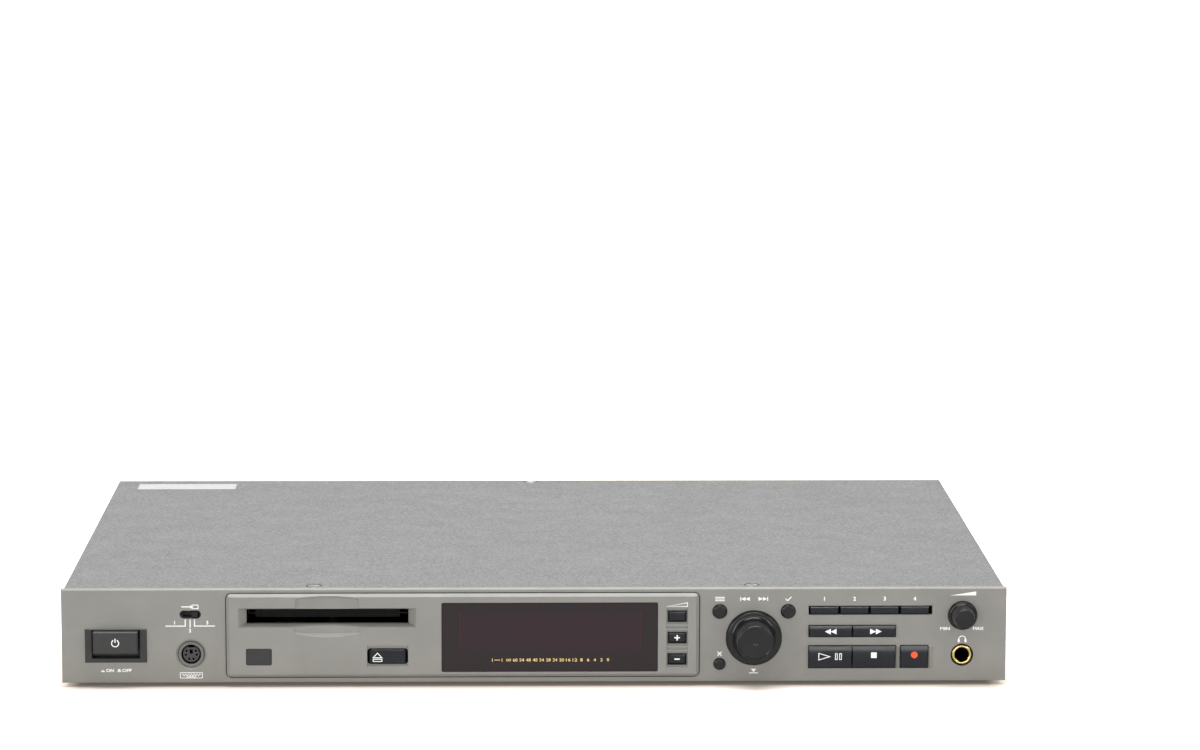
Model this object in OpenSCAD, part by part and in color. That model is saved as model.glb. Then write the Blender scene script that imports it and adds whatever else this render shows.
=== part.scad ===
// One-unit-high minidisc recorder deck: sheet-metal case, moulded front, slot-loading disc mechanism.
// Drawn with x across the front, y from the front face to the back, z up from the bottom of the front panel.

/* [Case] */
// Width of the front panel
panel_w = 430; // [420:1:440]
// Height of the front panel
panel_h = 43.6; // [43:0.1:46]
// Thickness of the front panel moulding
panel_t = 3.5; // [3:0.1:4]
// Bevel along the top edge of the front panel
panel_bevel = 0.9; // [0.5:0.1:1.1]
// Depth from the front face to the outside of the rear panel
body_d = 272; // [264:1:300]
// Thickness of the cover sheet
cover_t = 1; // [0.8:0.1:1.2]
// How far the cover's sides stand in from the ends of the front panel
cover_inset = 1.4; // [1:0.1:2]
// Thickness of the chassis pan and rear panel sheet
pan_t = 1.2; // [1:0.1:1.6]
// Height of the rubber feet
foot_h = 2; // [1.5:0.1:6]
// Radius of the rubber feet
foot_r = 11; // [8:0.5:14]

/* [Centre escutcheon] */
// Distance from the panel's left end to the raised centre moulding
left_group_w = 74.7; // [74:0.1:78]
// Distance from the raised centre moulding to the panel's right end
right_group_w = 140.3; // [139:0.1:144]
// Gap from the panel's bottom edge to the centre moulding
esc_below = 2.4; // [2:0.1:3]
// Gap from the centre moulding to the panel's top edge
esc_above = 2.5; // [2:0.1:3]
// How far the centre moulding stands proud
esc_proud = 1.5; // [1:0.1:2]
// Chamfer round the centre moulding
esc_chamfer = 1.4; // [0.6:0.1:1.4]
// Width of the groove between the centre moulding and the panel
groove_w = 0.4; // [0.2:0.05:0.6]
// Depth of the groove between the centre moulding and the panel
groove_depth = 0.8; // [0.4:0.1:1.2]
// Corner radius of the centre moulding
esc_r = 2.5; // [1.5:0.1:4]
// Width of the seating ledge behind the centre moulding
esc_ledge = 1.6; // [1:0.1:2]
// Width of the disc slot's inner opening
slot_w = 73.6; // [73:0.1:75]
// Height of the disc slot's inner opening
slot_h = 7; // [6:0.1:7.6]
// Depth of the slot's centre line below the panel's top edge
slot_drop = 13.2; // [13:0.1:14]
// Width of the finger scoop over the slot
scoop_w = 29; // [20:1:34]
// Depth of the finger scoop at its middle
scoop_depth = 1.7; // [1:0.1:1.8]
// Depth of the finger scoop at its ends
scoop_end_depth = 0.5; // [0.2:0.1:0.8]
// How far the scoop's upper and lower edges bulge
scoop_arch = 1.7; // [0.5:0.1:2]
// Corner radius of the two windows
window_r = 0.8; // [0.4:0.1:1.5]
// Border from the centre moulding's edge up to the display window's bottom
window_below = 2.4; // [2:0.1:3]
// Border from the display window's top to the centre moulding's edge
window_above = 4.1; // [3:0.1:5]
// Width of the remote control window
remote_w = 11.7; // [8:0.1:14]
// Height of the remote control window
remote_h = 7.8; // [6:0.1:9]

/* [Controls] */
// Width of the power button
power_w = 20.3; // [16:0.1:21]
// Height of the power button
power_h = 10.3; // [8:0.1:11]
// How far the power button stands proud
power_proud = 4; // [2:0.1:5]
// Travel of the power button
power_travel = 3; // [2:0.1:3]
// Travel of the small keys
key_travel = 0.8; // [0.5:0.05:1]
// How far the transport keys stand proud
transport_proud = 1.2; // [0.5:0.1:2]
// Height of the play, stop and record keys
transport_h = 10.2; // [8:0.1:10.6]
// Height of the search keys
search_h = 5.1; // [4:0.1:6]
// Width of one play, stop or search key
wide_key_w = 19.6; // [17:0.1:19.7]
// Crown of the transport keys' faces
key_crown = 0.45; // [0.1:0.05:0.6]
// Height of the slim function keys
function_h = 3.4; // [3:0.1:4]
// Width of one slim function key
function_w = 13; // [11:0.1:13.1]
// Radius of the two larger round keys
round_key_r = 3.1; // [2.5:0.1:3.4]
// Radius of the smaller round key
small_key_r = 2.5; // [2:0.1:3]
// Radius of the jog dial's skirt
dial_r = 12.25; // [11:0.05:12.5]
// How far the jog dial stands proud
dial_proud = 12.5; // [10:0.1:14]
// Radius of the level knob's skirt
level_r = 6.4; // [5:0.1:7]
// How far the level knob stands proud
level_proud = 9; // [7:0.1:11]
// Radius of the headphone plug's bore
phones_r = 3.2; // [3.2:0.05:3.5]
// Width of the input switch's cap
switch_cap_w = 2.9; // [2:0.1:3.4]
// Distance between the input switch's three places
switch_pitch = 2.05; // [1.8:0.05:2.2]

/* [Disc mechanism] */
// Width of the disc cartridge
cart_w = 72; // [71.5:0.1:72.5]
// Depth of the disc cartridge
cart_d = 68; // [66:0.5:70]
// Thickness of the disc cartridge
cart_t = 5; // [4.8:0.1:5.2]
// How far the holder drops to put the disc on the turntable
holder_drop = 3.5; // [2.5:0.1:3.5]
// Stroke of the loading slider
slider_stroke = 14; // [10:0.5:14]
// Module of the loading gears
gear_m = 0.8; // [0.6:0.1:0.8]
// Teeth of the loading gear
gear_teeth = 18; // [18:2:18]
// Teeth of the motor pinion
pinion_teeth = 12; // [12:4:12]
// Stroke of the pickup sled
sled_stroke = 16.5; // [12:0.5:16.5]
// Distance of the lens from the spindle with the sled at its inner end
lens_inner = 14.5; // [14:0.1:16]

/* [Clearances] */
// Gap round a key in its hole
key_gap = 0.3; // [0.2:0.05:0.4]
// Gap at each end of the eject key in its hole
eject_gap = 1; // [0.3:0.1:1.2]
// Radial gap of a shaft in its bearing
running = 0.05; // [0.02:0.01:0.08]
// Gap between fixed pieces that slip together
slip = 0.1; // [0.05:0.01:0.15]

/* [Hidden] */
$fn = 48;

left = -panel_w / 2;
right = panel_w / 2;
top = panel_h;
eps = 0.01;

// The cover's inside face at the sides, and where its front edge starts behind the panel's lip
cover_x = right - cover_inset - cover_t;
panel_lip = 1.2;
pan_x = cover_x - slip;
back = body_d - pan_t;

// Rows of boards behind the front
flange_t = 1;
board_y = 13;
board_t = 1.6;
switch_depth = 3.5;
stem_end = board_y - switch_depth - key_travel - running;
stem_r = 1.5;
round_proud = 1.1;
round_key_edge = 0.7;
board_z = 7;
board_edge = 4;

// Where the centre moulding lies
esc_x0 = left + left_group_w;
esc_x1 = right - right_group_w;
esc_z0 = esc_below;
esc_z1 = top - esc_above;
slot_x = esc_x0 + 45.85;
slot_z = top - slot_drop;
slot_side_flare = 3.6;
slot_top_flare = 0.7;
slot_bottom_flare = 1.4;
flap_axis_y = panel_t + 1.7;
flap_axis_z = slot_z + slot_h / 2 + 2.3;
flap_roll_r = 1.3;
flap_pin_r = 0.8;
flap_x = slot_w / 2 + 1.6;
flap_plate_x = slot_w / 2 - 3.9;
flap_front_x = slot_w / 2 - 6.7;
flap_bottom_gap = 2.4;
ear_t = 1.8;
scoop_down = 9.3;
scoop_up = 10.2;

window_x0 = slot_x + 51.85;
window_x1 = esc_x1 - 18.8;
window_z0 = esc_z0 + window_below;
window_z1 = esc_z1 - window_above;
window_recess = 0.3;
window_step = 1.2;
remote_x = slot_x - 31.1;
remote_z = 12;
eject_x = slot_x + 27.35;
eject_z = 12.1;
eject_w = 16.6;
eject_h = 6.6;
eject_r = 1.2;
speed_x = esc_x1 - 10.05;
speed_w = 8.1;
speed_h = 4.7;
speed_recess = 0.5;
speed_z = [for (row = [0:2]) 10.6 + 9.95 * row];

// Left group, from the left end
power_x = left + 24.6;
power_z = 14 + power_h / 2;
bezel_w = 28;
bezel_wall = 1.2;
bezel_rim = 0.6;
bezel_z0 = 9.4;
bezel_top_gap = 0.2;
bezel_z1 = power_z + power_h / 2 + bezel_top_gap + 0.4;
tub_w = power_w + 1.6;
tub_z0 = 11.3;
tub_depth = 5.5;
power_switch_y = 24;
input_x = left + 58.4;
input_z = top - 12.1;
input_slot_w = 9.7;
input_slot_h = 3.8;
switch_body_y = panel_t;
socket_x = left + 58.6;
socket_z = 13;
socket_r = 5.8;
socket_in_r = 4.5;
socket_sink_r = 7.05;
socket_pin_ring = 2.5;
socket_l = 17;
socket_front = 0.5;

// Right group, from the right end
dial_x = right - 115.3;
dial_z = 20.1;
dial_hole_r = dial_r + 0.5;
dial_neck_r = 9.6;
dial_fillet = 1;
dial_skirt = 1.9;
dial_face_r = 8.1;
dial_shaft_r = 3;
round_key_x = 15.6;
round_keys = [[dial_x - round_key_x, top - 11.2, round_key_r], [dial_x + round_key_x, top - 11.2, round_key_r],
    [dial_x - round_key_x, 8, small_key_r]];
keys_x0 = right - 90.1;
function_z = top - 10.85;
function_pitch = 13.75;
wide_pitch = 19.85;
search_z = 23.15;
transport_z = 11.2;
record_w = 12.3;
rib_w = 2.3;
rib_proud = 0.8;
record_x0 = keys_x0 + 2 * wide_pitch + rib_w;
level_x = right - 20;
level_z = top - 13.3;
level_hole_r = level_r + 0.35;
level_shaft_r = 2;
level_face_r = 4.4;
level_neck_r = 5.5;
level_fillet = 0.5;
level_skirt = 2;
phones_x = right - 20.05;
phones_z = 11.95;
phones_ring_r = 4.55;
phones_hole_r = 5.2;
jack_l = 30;
jack_half = 6;
phones_board_x = phones_x - 12.4;

// Bosses on the panel's back that carry the two boards
posts = [[right - 95.5, 24.5], [right - 95.5, 5.3], [right - 27.6, top - 4.5], [right - 7, 20.5],
    [right - 138, 20], [left + 47.5, 22.5], [left + 70.5, 22.5]];
post_r = 2;

// Disc mechanism, about the spindle
spindle_x = slot_x;
holder_y0 = 22;
spindle_y = holder_y0 + 2 + cart_d / 2;
holder_d = cart_d;
wall_t = 0.8;
cart_gap = 0.3;
cart_z0 = slot_z - cart_t / 2;
holder_in_x = cart_w / 2 + cart_gap;
holder_x = holder_in_x + wall_t;
holder_z0 = cart_z0 - wall_t;
holder_z1 = cart_z0 + cart_t + cart_gap + wall_t;
pin_r = 1;
pin_z = slot_z + 0.1;
pin_ys = [holder_y0 + 12, holder_y0 + 58];
guide_gap = 0.3;
guide_x = holder_x + guide_gap;
guide_t = 1;
slider_gap = 0.8;
slider_x = guide_x + guide_t + slider_gap;
slider_t = 1;
plate_t = 1.2;
plate_z1 = cart_z0 - 8.7;
plate_z0 = plate_z1 - plate_t;
rack_x = slider_x + slider_t + 4.2;
gear_r = gear_m * gear_teeth / 2;
pinion_r = gear_m * pinion_teeth / 2;
addendum = 0.8;
dedendum = 1.1;
tooth_slack = 0.12;
gear_x = spindle_x - rack_x - gear_r;
gear_y = holder_y0 + 70;
pinion_y = gear_y + gear_r + pinion_r;
gear_z0 = plate_z1 + 0.4;
gear_t = 2;
gear_post_r = 1.5;
motor_shaft_r = 1;
mech_x0 = gear_x - gear_r - 3;
mech_x1 = spindle_x + lens_inner + sled_stroke + 29;
mech_y0 = holder_y0 - 4;
mech_y1 = pinion_y + pinion_r + 6;
leg_r = 3.5;
leg_z0 = 9.2;
leg_inset = 5;
mount_r = 5;
legs = [[mech_x0 + leg_inset, mech_y0 + leg_inset], [mech_x1 - leg_inset, mech_y0 + leg_inset],
    [gear_x + 2 * gear_r + 2.6, mech_y1 - leg_inset], [mech_x1 - leg_inset, mech_y1 - leg_inset]];
bracket_half = 2.5;
slider_over = 2.6;
rod_r = 1.5;
rod_z = plate_z0 - 5.2;
rod_y = 15;
screw_r = 1.5;
screw_y = spindle_y - 23;
journal_r = 1;
bracket_t = 1.6;
rods_x0 = spindle_x + 5;
rods_x1 = mech_x1 - 2;
sled_z0 = plate_z0 - 8.6;
sled_z1 = plate_z0 - 0.4;
sled_x0 = spindle_x + lens_inner - 3.7;
sled_w = 23;
sled_half = 20;
motor_r = lens_inner - 4.5;
lens_r = 3;
arm_post_x = spindle_x + lens_inner + 24.5;
arm_post_w = 1.2;
arm_half = 5.5;
window_half = arm_half + 1.5;
arm_axis_z = holder_z1 + 4;
arm_pin_r = 0.8;

// Rear connectors
rear_z = top / 2;
inlet_x = left + 33;
phono_x = slot_x + 54.65;
phono_pitch = 14;
phono_xs = [phono_x - phono_pitch / 2, phono_x + phono_pitch / 2];
remote_socket_x = slot_x + 104.65;
xlr_x = [for (i = [0:3]) right - 150 + 33 * i];
xlr_r = 11;
xlr_flange_w = 26;
xlr_flange_h = 31;
xlr_l = 18;
xlr_well = 13;
xlr_bore_r = 9.4;
xlr_core_r = 7.6;
xlr_pole_ring = 4.2;
xlr_socket_r = 1.4;
xlr_pin_r = 1.2;
phono_r = 4.15;
phono_l = 9.5;
phono_collar = 0.6;
phono_collar_l = 0.3;
phono_block_d = 9;
phono_z = [12.5, 12.5 + phono_pitch];
inlet_w = 27;
inlet_h = 19.6;

// Screws in the cover: two at the front and one at the back
screw_head_r = 2.8;
screw_shank_r = 1.5;
dimple_r = 3.65;
dimple_depth = 0.5;
front_screw_y = 5.4;
rear_screw_y = body_d - 3.4;
screw_xs = [slot_x - 6.25, right - 116.1];

// Main board, supply board and transformer on the pan, with the chips on a grid over the main board
board_x0 = mech_x1 + 8;
board_x1 = right - 10;
board_y0 = 40;
board_y1 = back - phono_block_d - 0.5;
main_posts = [for (x = [board_x0 + 6, board_x1 - 6], y = [board_y0 + 6, board_y1 - 30]) [x, y]];
chip_grid = 10;
chip_t = 2.2;
chips = [[4, 6, 2, 2], [8, 4, 1.4, 1.4], [8, 8, 2.2, 1.2], [13, 6, 1.6, 1.6], [15, 11, 1.2, 2]];
capacitor_pitch = 22;
capacitor_r = 4;
capacitor_h = 12;
small_capacitor_r = 3;
small_capacitor_h = 9;
can_w = 22;
can_d = 40;
can_h = 9;
supply_x0 = -pan_x + pan_t + 3;
supply_x1 = mech_x0 - 5;
supply_y0 = 98;
supply_y1 = 172;
power_posts = [for (x = [supply_x0 + 5, supply_x1 - 5], y = [supply_y0 + 7, supply_y1 - 7]) [x, y]];
reservoir_r = 8;
reservoir_h = 24;
sink_h = 25;
sink_t = 2;
fin_l = 5;
fin_t = 1.2;
fin_count = 9;
core_y0 = supply_y1 + 10;
core_t = 16;
core_z1 = 38;
limb = 6;
winding_out = 8;

// The rear-most point is the end of the phono jacks and the front-most is the dial's face
centre_y = (body_d + phono_l - dial_proud) / 2;

module place() translate([0, -centre_y, foot_h]) children();

module box(x0, x1, y0, y1, z0, z1) translate([x0, y0, z0]) cube([x1 - x0, y1 - y0, z1 - z0]);

// Upright outline in x and z, pushed through from y0 to y1
module slab(y0, y1) translate([0, y1, 0]) rotate([90, 0, 0]) linear_extrude(y1 - y0) children();

// Side outline in y and z, pushed along x
module run_x(x0, x1) translate([x0, 0, 0]) rotate([90, 0, 90]) linear_extrude(x1 - x0) children();

// Plan outline in x and y, pushed up
module rise_z(z0, z1) translate([0, 0, z0]) linear_extrude(z1 - z0) children();

module rod_along_y(x, z, r, y0, y1) translate([x, y0, z]) rotate([-90, 0, 0]) cylinder(r = r, h = y1 - y0);

module rod_along_x(y, z, r, x0, x1) translate([x0, y, z]) rotate([0, 90, 0]) cylinder(r = r, h = x1 - x0);

module rod_along_z(x, y, r, z0, z1) translate([x, y, z0]) cylinder(r = r, h = z1 - z0);

// Profile of [radius, y] points turned about a line along y
module turned(x, z, profile) translate([x, 0, z]) rotate([-90, 0, 0]) rotate_extrude() polygon(profile);

module rect(x0, x1, z0, z1) translate([x0, z0]) square([x1 - x0, z1 - z0]);

module round_rect(x0, x1, z0, z1, r) {
    rect(x0 + r, x1 - r, z0, z1);
    rect(x0, x1, z0 + r, z1 - r);
    for (x = [x0 + r, x1 - r], z = [z0 + r, z1 - r]) translate([x, z]) circle(r);
}

module disc(x, z, r) translate([x, z]) circle(r);

// Block whose front edges are bevelled all round, the long ones by a further depth where the face is crowned
module bevelled(x0, x1, y0, y1, z0, z1, c, crown = 0) intersection() {
    deep = c + crown;
    run_x(x0, x1) polygon([[y0, z0 + deep], [y0 + deep, z0], [y1, z0], [y1, z1], [y0 + deep, z1], [y0, z1 - deep]]);
    rise_z(z0, z1) polygon([[x0 + c, y0], [x1 - c, y0], [x1, y0 + c], [x1, y1], [x0, y1], [x0, y0 + c]]);
}

// Radius of the arc that rises by height over a chord twice half long
function arc_r(half, height) = (half * half + height * height) / (2 * height);

// Points of a rounded outer edge: from the face at depth y round to the side at radius r
function round_edge(r, y, round) = [for (a = [0:22.5:90]) [r - round + round * sin(a), y + round - round * cos(a)]];

// Points of a hollow fillet: from the side at radius r out to the face at depth y
function hollow_edge(r, y, round) = [for (a = [0:22.5:90]) [r + round - round * cos(a), y - round + round * sin(a)]];

// Round plunger from a key's flange to just short of its switch
module stem(x, z) rod_along_y(x, z, stem_r, panel_t + flange_t - eps, stem_end);

// Rectangular key: bevelled cap with a crowned face, retaining flange behind the panel, and stem
module bar_key(x0, x1, z0, z1, proud, c, crown) {
    lip = key_gap + 0.9;
    face_r = arc_r((z1 - z0) / 2, crown);
    intersection() {
        bevelled(x0, x1, -proud, panel_t + eps, z0, z1, c, crown);
        rod_along_x(face_r - proud, (z0 + z1) / 2, face_r, x0 - 1, x1 + 1);
    }
    box(x0, x1, panel_t, panel_t + flange_t, z0 - lip, z1 + lip);
    stem((x0 + x1) / 2, (z0 + z1) / 2);
}

// Round key turned in one piece with its flange
module round_key(place_xzr) {
    r = place_xzr[2];
    lip_r = r + key_gap + 0.8;
    turned(place_xzr[0], place_xzr[1], concat([[0, -round_proud]], round_edge(r, -round_proud, round_key_edge),
        [[r, panel_t], [lip_r, panel_t], [lip_r, panel_t + flange_t], [stem_r, panel_t + flange_t],
        [stem_r, stem_end], [0, stem_end]]));
}

module front_panel() color([0.6, 0.59, 0.56]) place() {
    rear_x = cover_x - slip;
    rear_top = top - cover_t - slip;
    difference() {
        union() {
            run_x(left, right) polygon([[0, 0], [panel_lip, 0], [panel_lip, top], [panel_bevel, top],
                [0, top - panel_bevel]]);
            box(-rear_x, rear_x, panel_lip - eps, panel_t, 0, rear_top);
            for (p = posts) rod_along_y(p[0], p[1], post_r, panel_t - eps, board_y);
            for (x = screw_xs) box(x - 5, x + 5, panel_t - eps, panel_t + 5, esc_z1 - esc_ledge + slip + 0.2,
                rear_top);
            record_rib(record_x0 - rib_w + key_gap, record_x0 - key_gap);
            record_rib(record_x0 + record_w + key_gap, record_x0 + record_w + rib_w);
        }
        panel_holes();
        for (x = screw_xs) rod_along_z(x, front_screw_y, screw_shank_r + slip, 20, top + 1);
    }
}

// Raised bar with sloping ends beside the record key
module record_rib(x0, x1) {
    z0 = transport_z - transport_h / 2 - key_gap;
    z1 = transport_z + transport_h / 2 + key_gap;
    bevelled(x0, x1, -rib_proud, panel_t, z0, z1, rib_proud);
}

module panel_holes() {
    gap = key_gap;
    slab(-1, panel_t + 1) {
        rect(esc_x0 + esc_ledge - slip, esc_x1 - esc_ledge + slip, esc_z0 + esc_ledge - slip,
            esc_z1 - esc_ledge + slip);
        rect(power_x - tub_w / 2 - bezel_wall - slip, power_x + tub_w / 2 + bezel_wall + slip,
            tub_z0 - bezel_wall - slip, bezel_z1 - 0.3);
        round_rect(input_x - input_slot_w / 2, input_x + input_slot_w / 2, input_z - input_slot_h / 2,
            input_z + input_slot_h / 2, input_slot_h / 2 - 0.05);
        disc(socket_x, socket_z, socket_r + slip);
        disc(dial_x, dial_z, dial_hole_r);
        for (k = round_keys) disc(k[0], k[1], k[2] + gap);
        rect(keys_x0 - gap, keys_x0 + 4 * function_pitch + 1.2, function_z - function_h / 2 - gap,
            function_z + function_h / 2 + gap + 0.2);
        rect(keys_x0 - gap, keys_x0 + wide_pitch + wide_key_w + gap, search_z - search_h / 2 - gap,
            search_z + search_h / 2 + gap);
        rect(keys_x0 - gap, keys_x0 + wide_pitch + wide_key_w + gap, transport_z - transport_h / 2 - gap,
            transport_z + transport_h / 2 + gap);
        rect(record_x0 - gap, record_x0 + record_w + gap, transport_z - transport_h / 2 - gap,
            transport_z + transport_h / 2 + gap);
        disc(level_x, level_z, level_hole_r);
        disc(phones_x, phones_z, phones_hole_r);
    }
    slab(-1, groove_depth) round_rect(esc_x0 - groove_w, esc_x1 + groove_w, esc_z0 - groove_w, esc_z1 + groove_w,
        esc_r + groove_w);
    turned(socket_x, socket_z, [[0, -1], [socket_sink_r + 1, -1], [socket_sink_r, 0], [socket_r + slip, 1.2],
        [0, 1.2]]);
}

module centre_escutcheon() color([0.61, 0.6, 0.57]) place() {
    difference() {
        union() {
            intersection() {
                slab(-esc_proud, groove_depth) round_rect(esc_x0, esc_x1, esc_z0, esc_z1, esc_r);
                bevelled(esc_x0, esc_x1, -esc_proud, panel_t, esc_z0, esc_z1, esc_chamfer);
            }
            box(esc_x0 + esc_ledge, esc_x1 - esc_ledge, groove_depth - eps, panel_t, esc_z0 + esc_ledge,
                esc_z1 - esc_ledge);
            for (s = [-1, 1]) flap_ear(s);
        }
        slot_funnel();
        finger_scoop();
        slab(-esc_proud - 1, panel_t + 1) {
            round_rect(window_x0, window_x1, window_z0, window_z1, window_r);
            round_rect(remote_x - remote_w / 2, remote_x + remote_w / 2, remote_z - remote_h / 2,
                remote_z + remote_h / 2, window_r);
            round_rect(eject_x - eject_w / 2 - eject_gap, eject_x + eject_w / 2 + eject_gap,
                eject_z - eject_h / 2 - key_gap, eject_z + eject_h / 2 + key_gap, eject_r + key_gap);
            for (z = speed_z) rect(speed_x - speed_w / 2 - key_gap, speed_x + speed_w / 2 + key_gap,
                z - speed_h / 2 - key_gap, z + speed_h / 2 + key_gap);
        }
        eject_recess();
        speed_recesses();
    }
}

// Ear behind the slot with the bearing hole for the flap's pin
module flap_ear(side) {
    x0 = side > 0 ? slot_x + flap_x + 0.2 : slot_x - flap_x - 0.2 - ear_t;
    difference() {
        box(x0, x0 + ear_t, panel_t - eps, flap_axis_y + 1.9, flap_axis_z - 2, flap_axis_z + 1.4);
        rod_along_x(flap_axis_y, flap_axis_z, flap_pin_r + running, x0 - 1, x0 + ear_t + 1);
    }
}

// Mouth of the disc slot: it narrows from all four sides towards the flap
module slot_funnel() intersection() {
    in_x = slot_w / 2;
    out_x = in_x + slot_side_flare;
    in_z = slot_h / 2;
    deep = panel_t + 1;
    rise_z(slot_z - 20, slot_z + 20) polygon([[slot_x - out_x, -esc_proud], [slot_x - out_x, -esc_proud - 1],
        [slot_x + out_x, -esc_proud - 1], [slot_x + out_x, -esc_proud],
        [slot_x + in_x, -esc_proud + slot_side_flare], [slot_x + in_x, deep], [slot_x - in_x, deep],
        [slot_x - in_x, -esc_proud + slot_side_flare]]);
    run_x(slot_x - 60, slot_x + 60) polygon([[-esc_proud - 1, slot_z + in_z + slot_top_flare],
        [-esc_proud, slot_z + in_z + slot_top_flare], [-esc_proud + 2, slot_z + in_z], [deep, slot_z + in_z],
        [deep, slot_z - in_z], [-esc_proud + 3, slot_z - in_z], [-esc_proud, slot_z - in_z - slot_bottom_flare],
        [-esc_proud - 1, slot_z - in_z - slot_bottom_flare]]);
}

// Shallow hollow for the finger: curved in plan, with arched ledges cut at 45 degrees above and below
module finger_scoop() {
    half = scoop_w / 2;
    hollow_r = arc_r(half, scoop_depth - scoop_end_depth);
    arch_r = arc_r(half, scoop_arch);
    low = slot_z - scoop_down;
    high = slot_z + scoop_up;
    deep = -esc_proud + scoop_depth;
    intersection() {
        rod_along_z(slot_x, deep - hollow_r, hollow_r, low - 1, high + 1);
        slab(-esc_proud - 1, deep + 1) polygon([[slot_x - half - 0.6, low - 1], [slot_x + half + 0.6, low - 1],
            [slot_x + half - 0.4, high + 1], [slot_x - half + 0.4, high + 1]]);
        ledge_cone(low + arch_r, arch_r);
        ledge_cone(high - arch_r, arch_r);
    }
}

// Cone about a line along y, narrowing by a millimetre for each millimetre of depth
module ledge_cone(z, r) turned(slot_x, z, [[0, -esc_proud - 1], [r + 1, -esc_proud - 1],
    [r - scoop_depth - 1, -esc_proud + scoop_depth + 1], [0, -esc_proud + scoop_depth + 1]]);

module eject_recess() {
    z0 = eject_z - eject_h / 2 - key_gap;
    z1 = eject_z + eject_h / 2 + key_gap;
    x0 = eject_x - eject_w / 2 - eject_gap;
    x1 = eject_x + eject_w / 2 + eject_gap;
    run_x(x0, x1) polygon([[-esc_proud - 1, z0 - 1.5], [-esc_proud, z0 - 1.5], [-esc_proud + 1, z0],
        [-esc_proud + 1, z1], [-esc_proud, z1 + 1.8], [-esc_proud - 1, z1 + 1.8]]);
}

// Shallow column round the speed keys, with two ridges left standing between them
module speed_recesses() {
    half = speed_w / 2 + 0.8;
    for (z = speed_z) box(speed_x - half, speed_x + half, -esc_proud - 1, -esc_proud + speed_recess,
        z - speed_h / 2 - 1.3, z + speed_h / 2 + 1.3);
    for (z = [speed_z[0], speed_z[1]]) box(speed_x - half, speed_x + half, -esc_proud - 1,
        -esc_proud + speed_recess, z + speed_h / 2 + 2.1, z + speed_h / 2 + 3.15);
}

// Lens pushed in from behind: front plate and a wider step that seats on the moulding's back
module lens(x0, x1, z0, z1) {
    slab(-esc_proud + window_recess, panel_t + eps) round_rect(x0 + slip, x1 - slip, z0 + slip, z1 - slip, window_r);
    box(x0 - window_step, x1 + window_step, panel_t, panel_t + flange_t, z0 - window_step, z1 + window_step);
}

module display_window() color([0.24, 0.2, 0.21]) place() lens(window_x0, window_x1, window_z0, window_z1);

module remote_window() color([0.33, 0.32, 0.33]) place()
    lens(remote_x - remote_w / 2, remote_x + remote_w / 2, remote_z - remote_h / 2, remote_z + remote_h / 2);

module top_cover() color([0.66, 0.66, 0.66]) place() difference() {
    union() {
        box(-cover_x - cover_t, cover_x + cover_t, panel_lip, body_d, top - cover_t, top);
        for (s = [-1, 1]) box(s > 0 ? cover_x : -cover_x - cover_t, s > 0 ? cover_x + cover_t : -cover_x,
            panel_lip, body_d, 0.6, top - cover_t + eps);
    }
    for (x = screw_xs) cover_dimple(x, front_screw_y);
    cover_dimple(0, rear_screw_y);
}

module cover_dimple(x, y) {
    rod_along_z(x, y, dimple_r, top - dimple_depth, top + 1);
    rod_along_z(x, y, screw_shank_r + slip, top - cover_t - 1, top);
}

module cover_screws() color([0.75, 0.75, 0.75]) place() {
    for (x = screw_xs) cover_screw(x, front_screw_y);
    cover_screw(0, rear_screw_y);
}

module cover_screw(x, y) translate([x, y, top - dimple_depth]) difference() {
    rotate_extrude() polygon([[0, -cover_t - 1.5], [screw_shank_r, -cover_t - 1.5], [screw_shank_r, 0],
        [screw_head_r, 0], [screw_head_r, dimple_depth - 0.1], [screw_head_r - 0.9, dimple_depth - 0.02],
        [0, dimple_depth - 0.02]]);
    for (a = [0, 90]) rotate(a) translate([-1.5, -0.3, 0.1]) cube([3, 0.6, 1]);
}

module chassis_pan() color([0.72, 0.72, 0.7]) place() {
    front = panel_t + slip;
    side_h = 14;
    difference() {
        union() {
            box(-pan_x, pan_x, front, back - slip, 0, pan_t);
            box(-pan_x, pan_x, front, front + pan_t, pan_t - eps, pan_t + 1.6);
            for (s = [-1, 1]) box(s > 0 ? pan_x - pan_t : -pan_x, s > 0 ? pan_x : -pan_x + pan_t, front,
                back - slip, pan_t - eps, side_h);
            for (p = main_posts) rod_along_z(p[0], p[1], 3, pan_t - eps, board_z);
            for (p = power_posts) rod_along_z(p[0], p[1], 3, pan_t - eps, board_z);
        }
        for (i = [0:11], j = [0:1]) vent(right - 150 + 9 * i, body_d * (0.42 + 0.2 * j));
    }
}

// Cooling slot in the pan, 2.5 by 22 with round ends
module vent(x, y) {
    box(x - 1.25, x + 1.25, y - 11, y + 11, -1, pan_t + 1);
    for (e = [-11, 11]) rod_along_z(x, y + e, 1.25, -1, pan_t + 1);
}

module rear_panel() color([0.7, 0.7, 0.69]) place() difference() {
    under = top - cover_t - slip;
    union() {
        box(-pan_x, pan_x, back, body_d, 0, under);
        box(-pan_x, pan_x, back - 10, back + eps, under - pan_t, under);
    }
    slab(back - 1, body_d + 1) {
        rect(inlet_x - inlet_w / 2 - slip, inlet_x + inlet_w / 2 + slip, rear_z - inlet_h / 2 - slip,
            rear_z + inlet_h / 2 + slip);
        for (x = xlr_x) disc(x, rear_z, xlr_r + slip);
        for (x = phono_xs, z = phono_z) disc(x, z, phono_r + phono_collar + slip);
        rect(remote_socket_x - 8.6, remote_socket_x + 8.6, rear_z - 4.4, rear_z + 4.4);
    }
    rod_along_z(0, rear_screw_y, screw_shank_r + slip, under - pan_t - 1, top);
}

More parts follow.
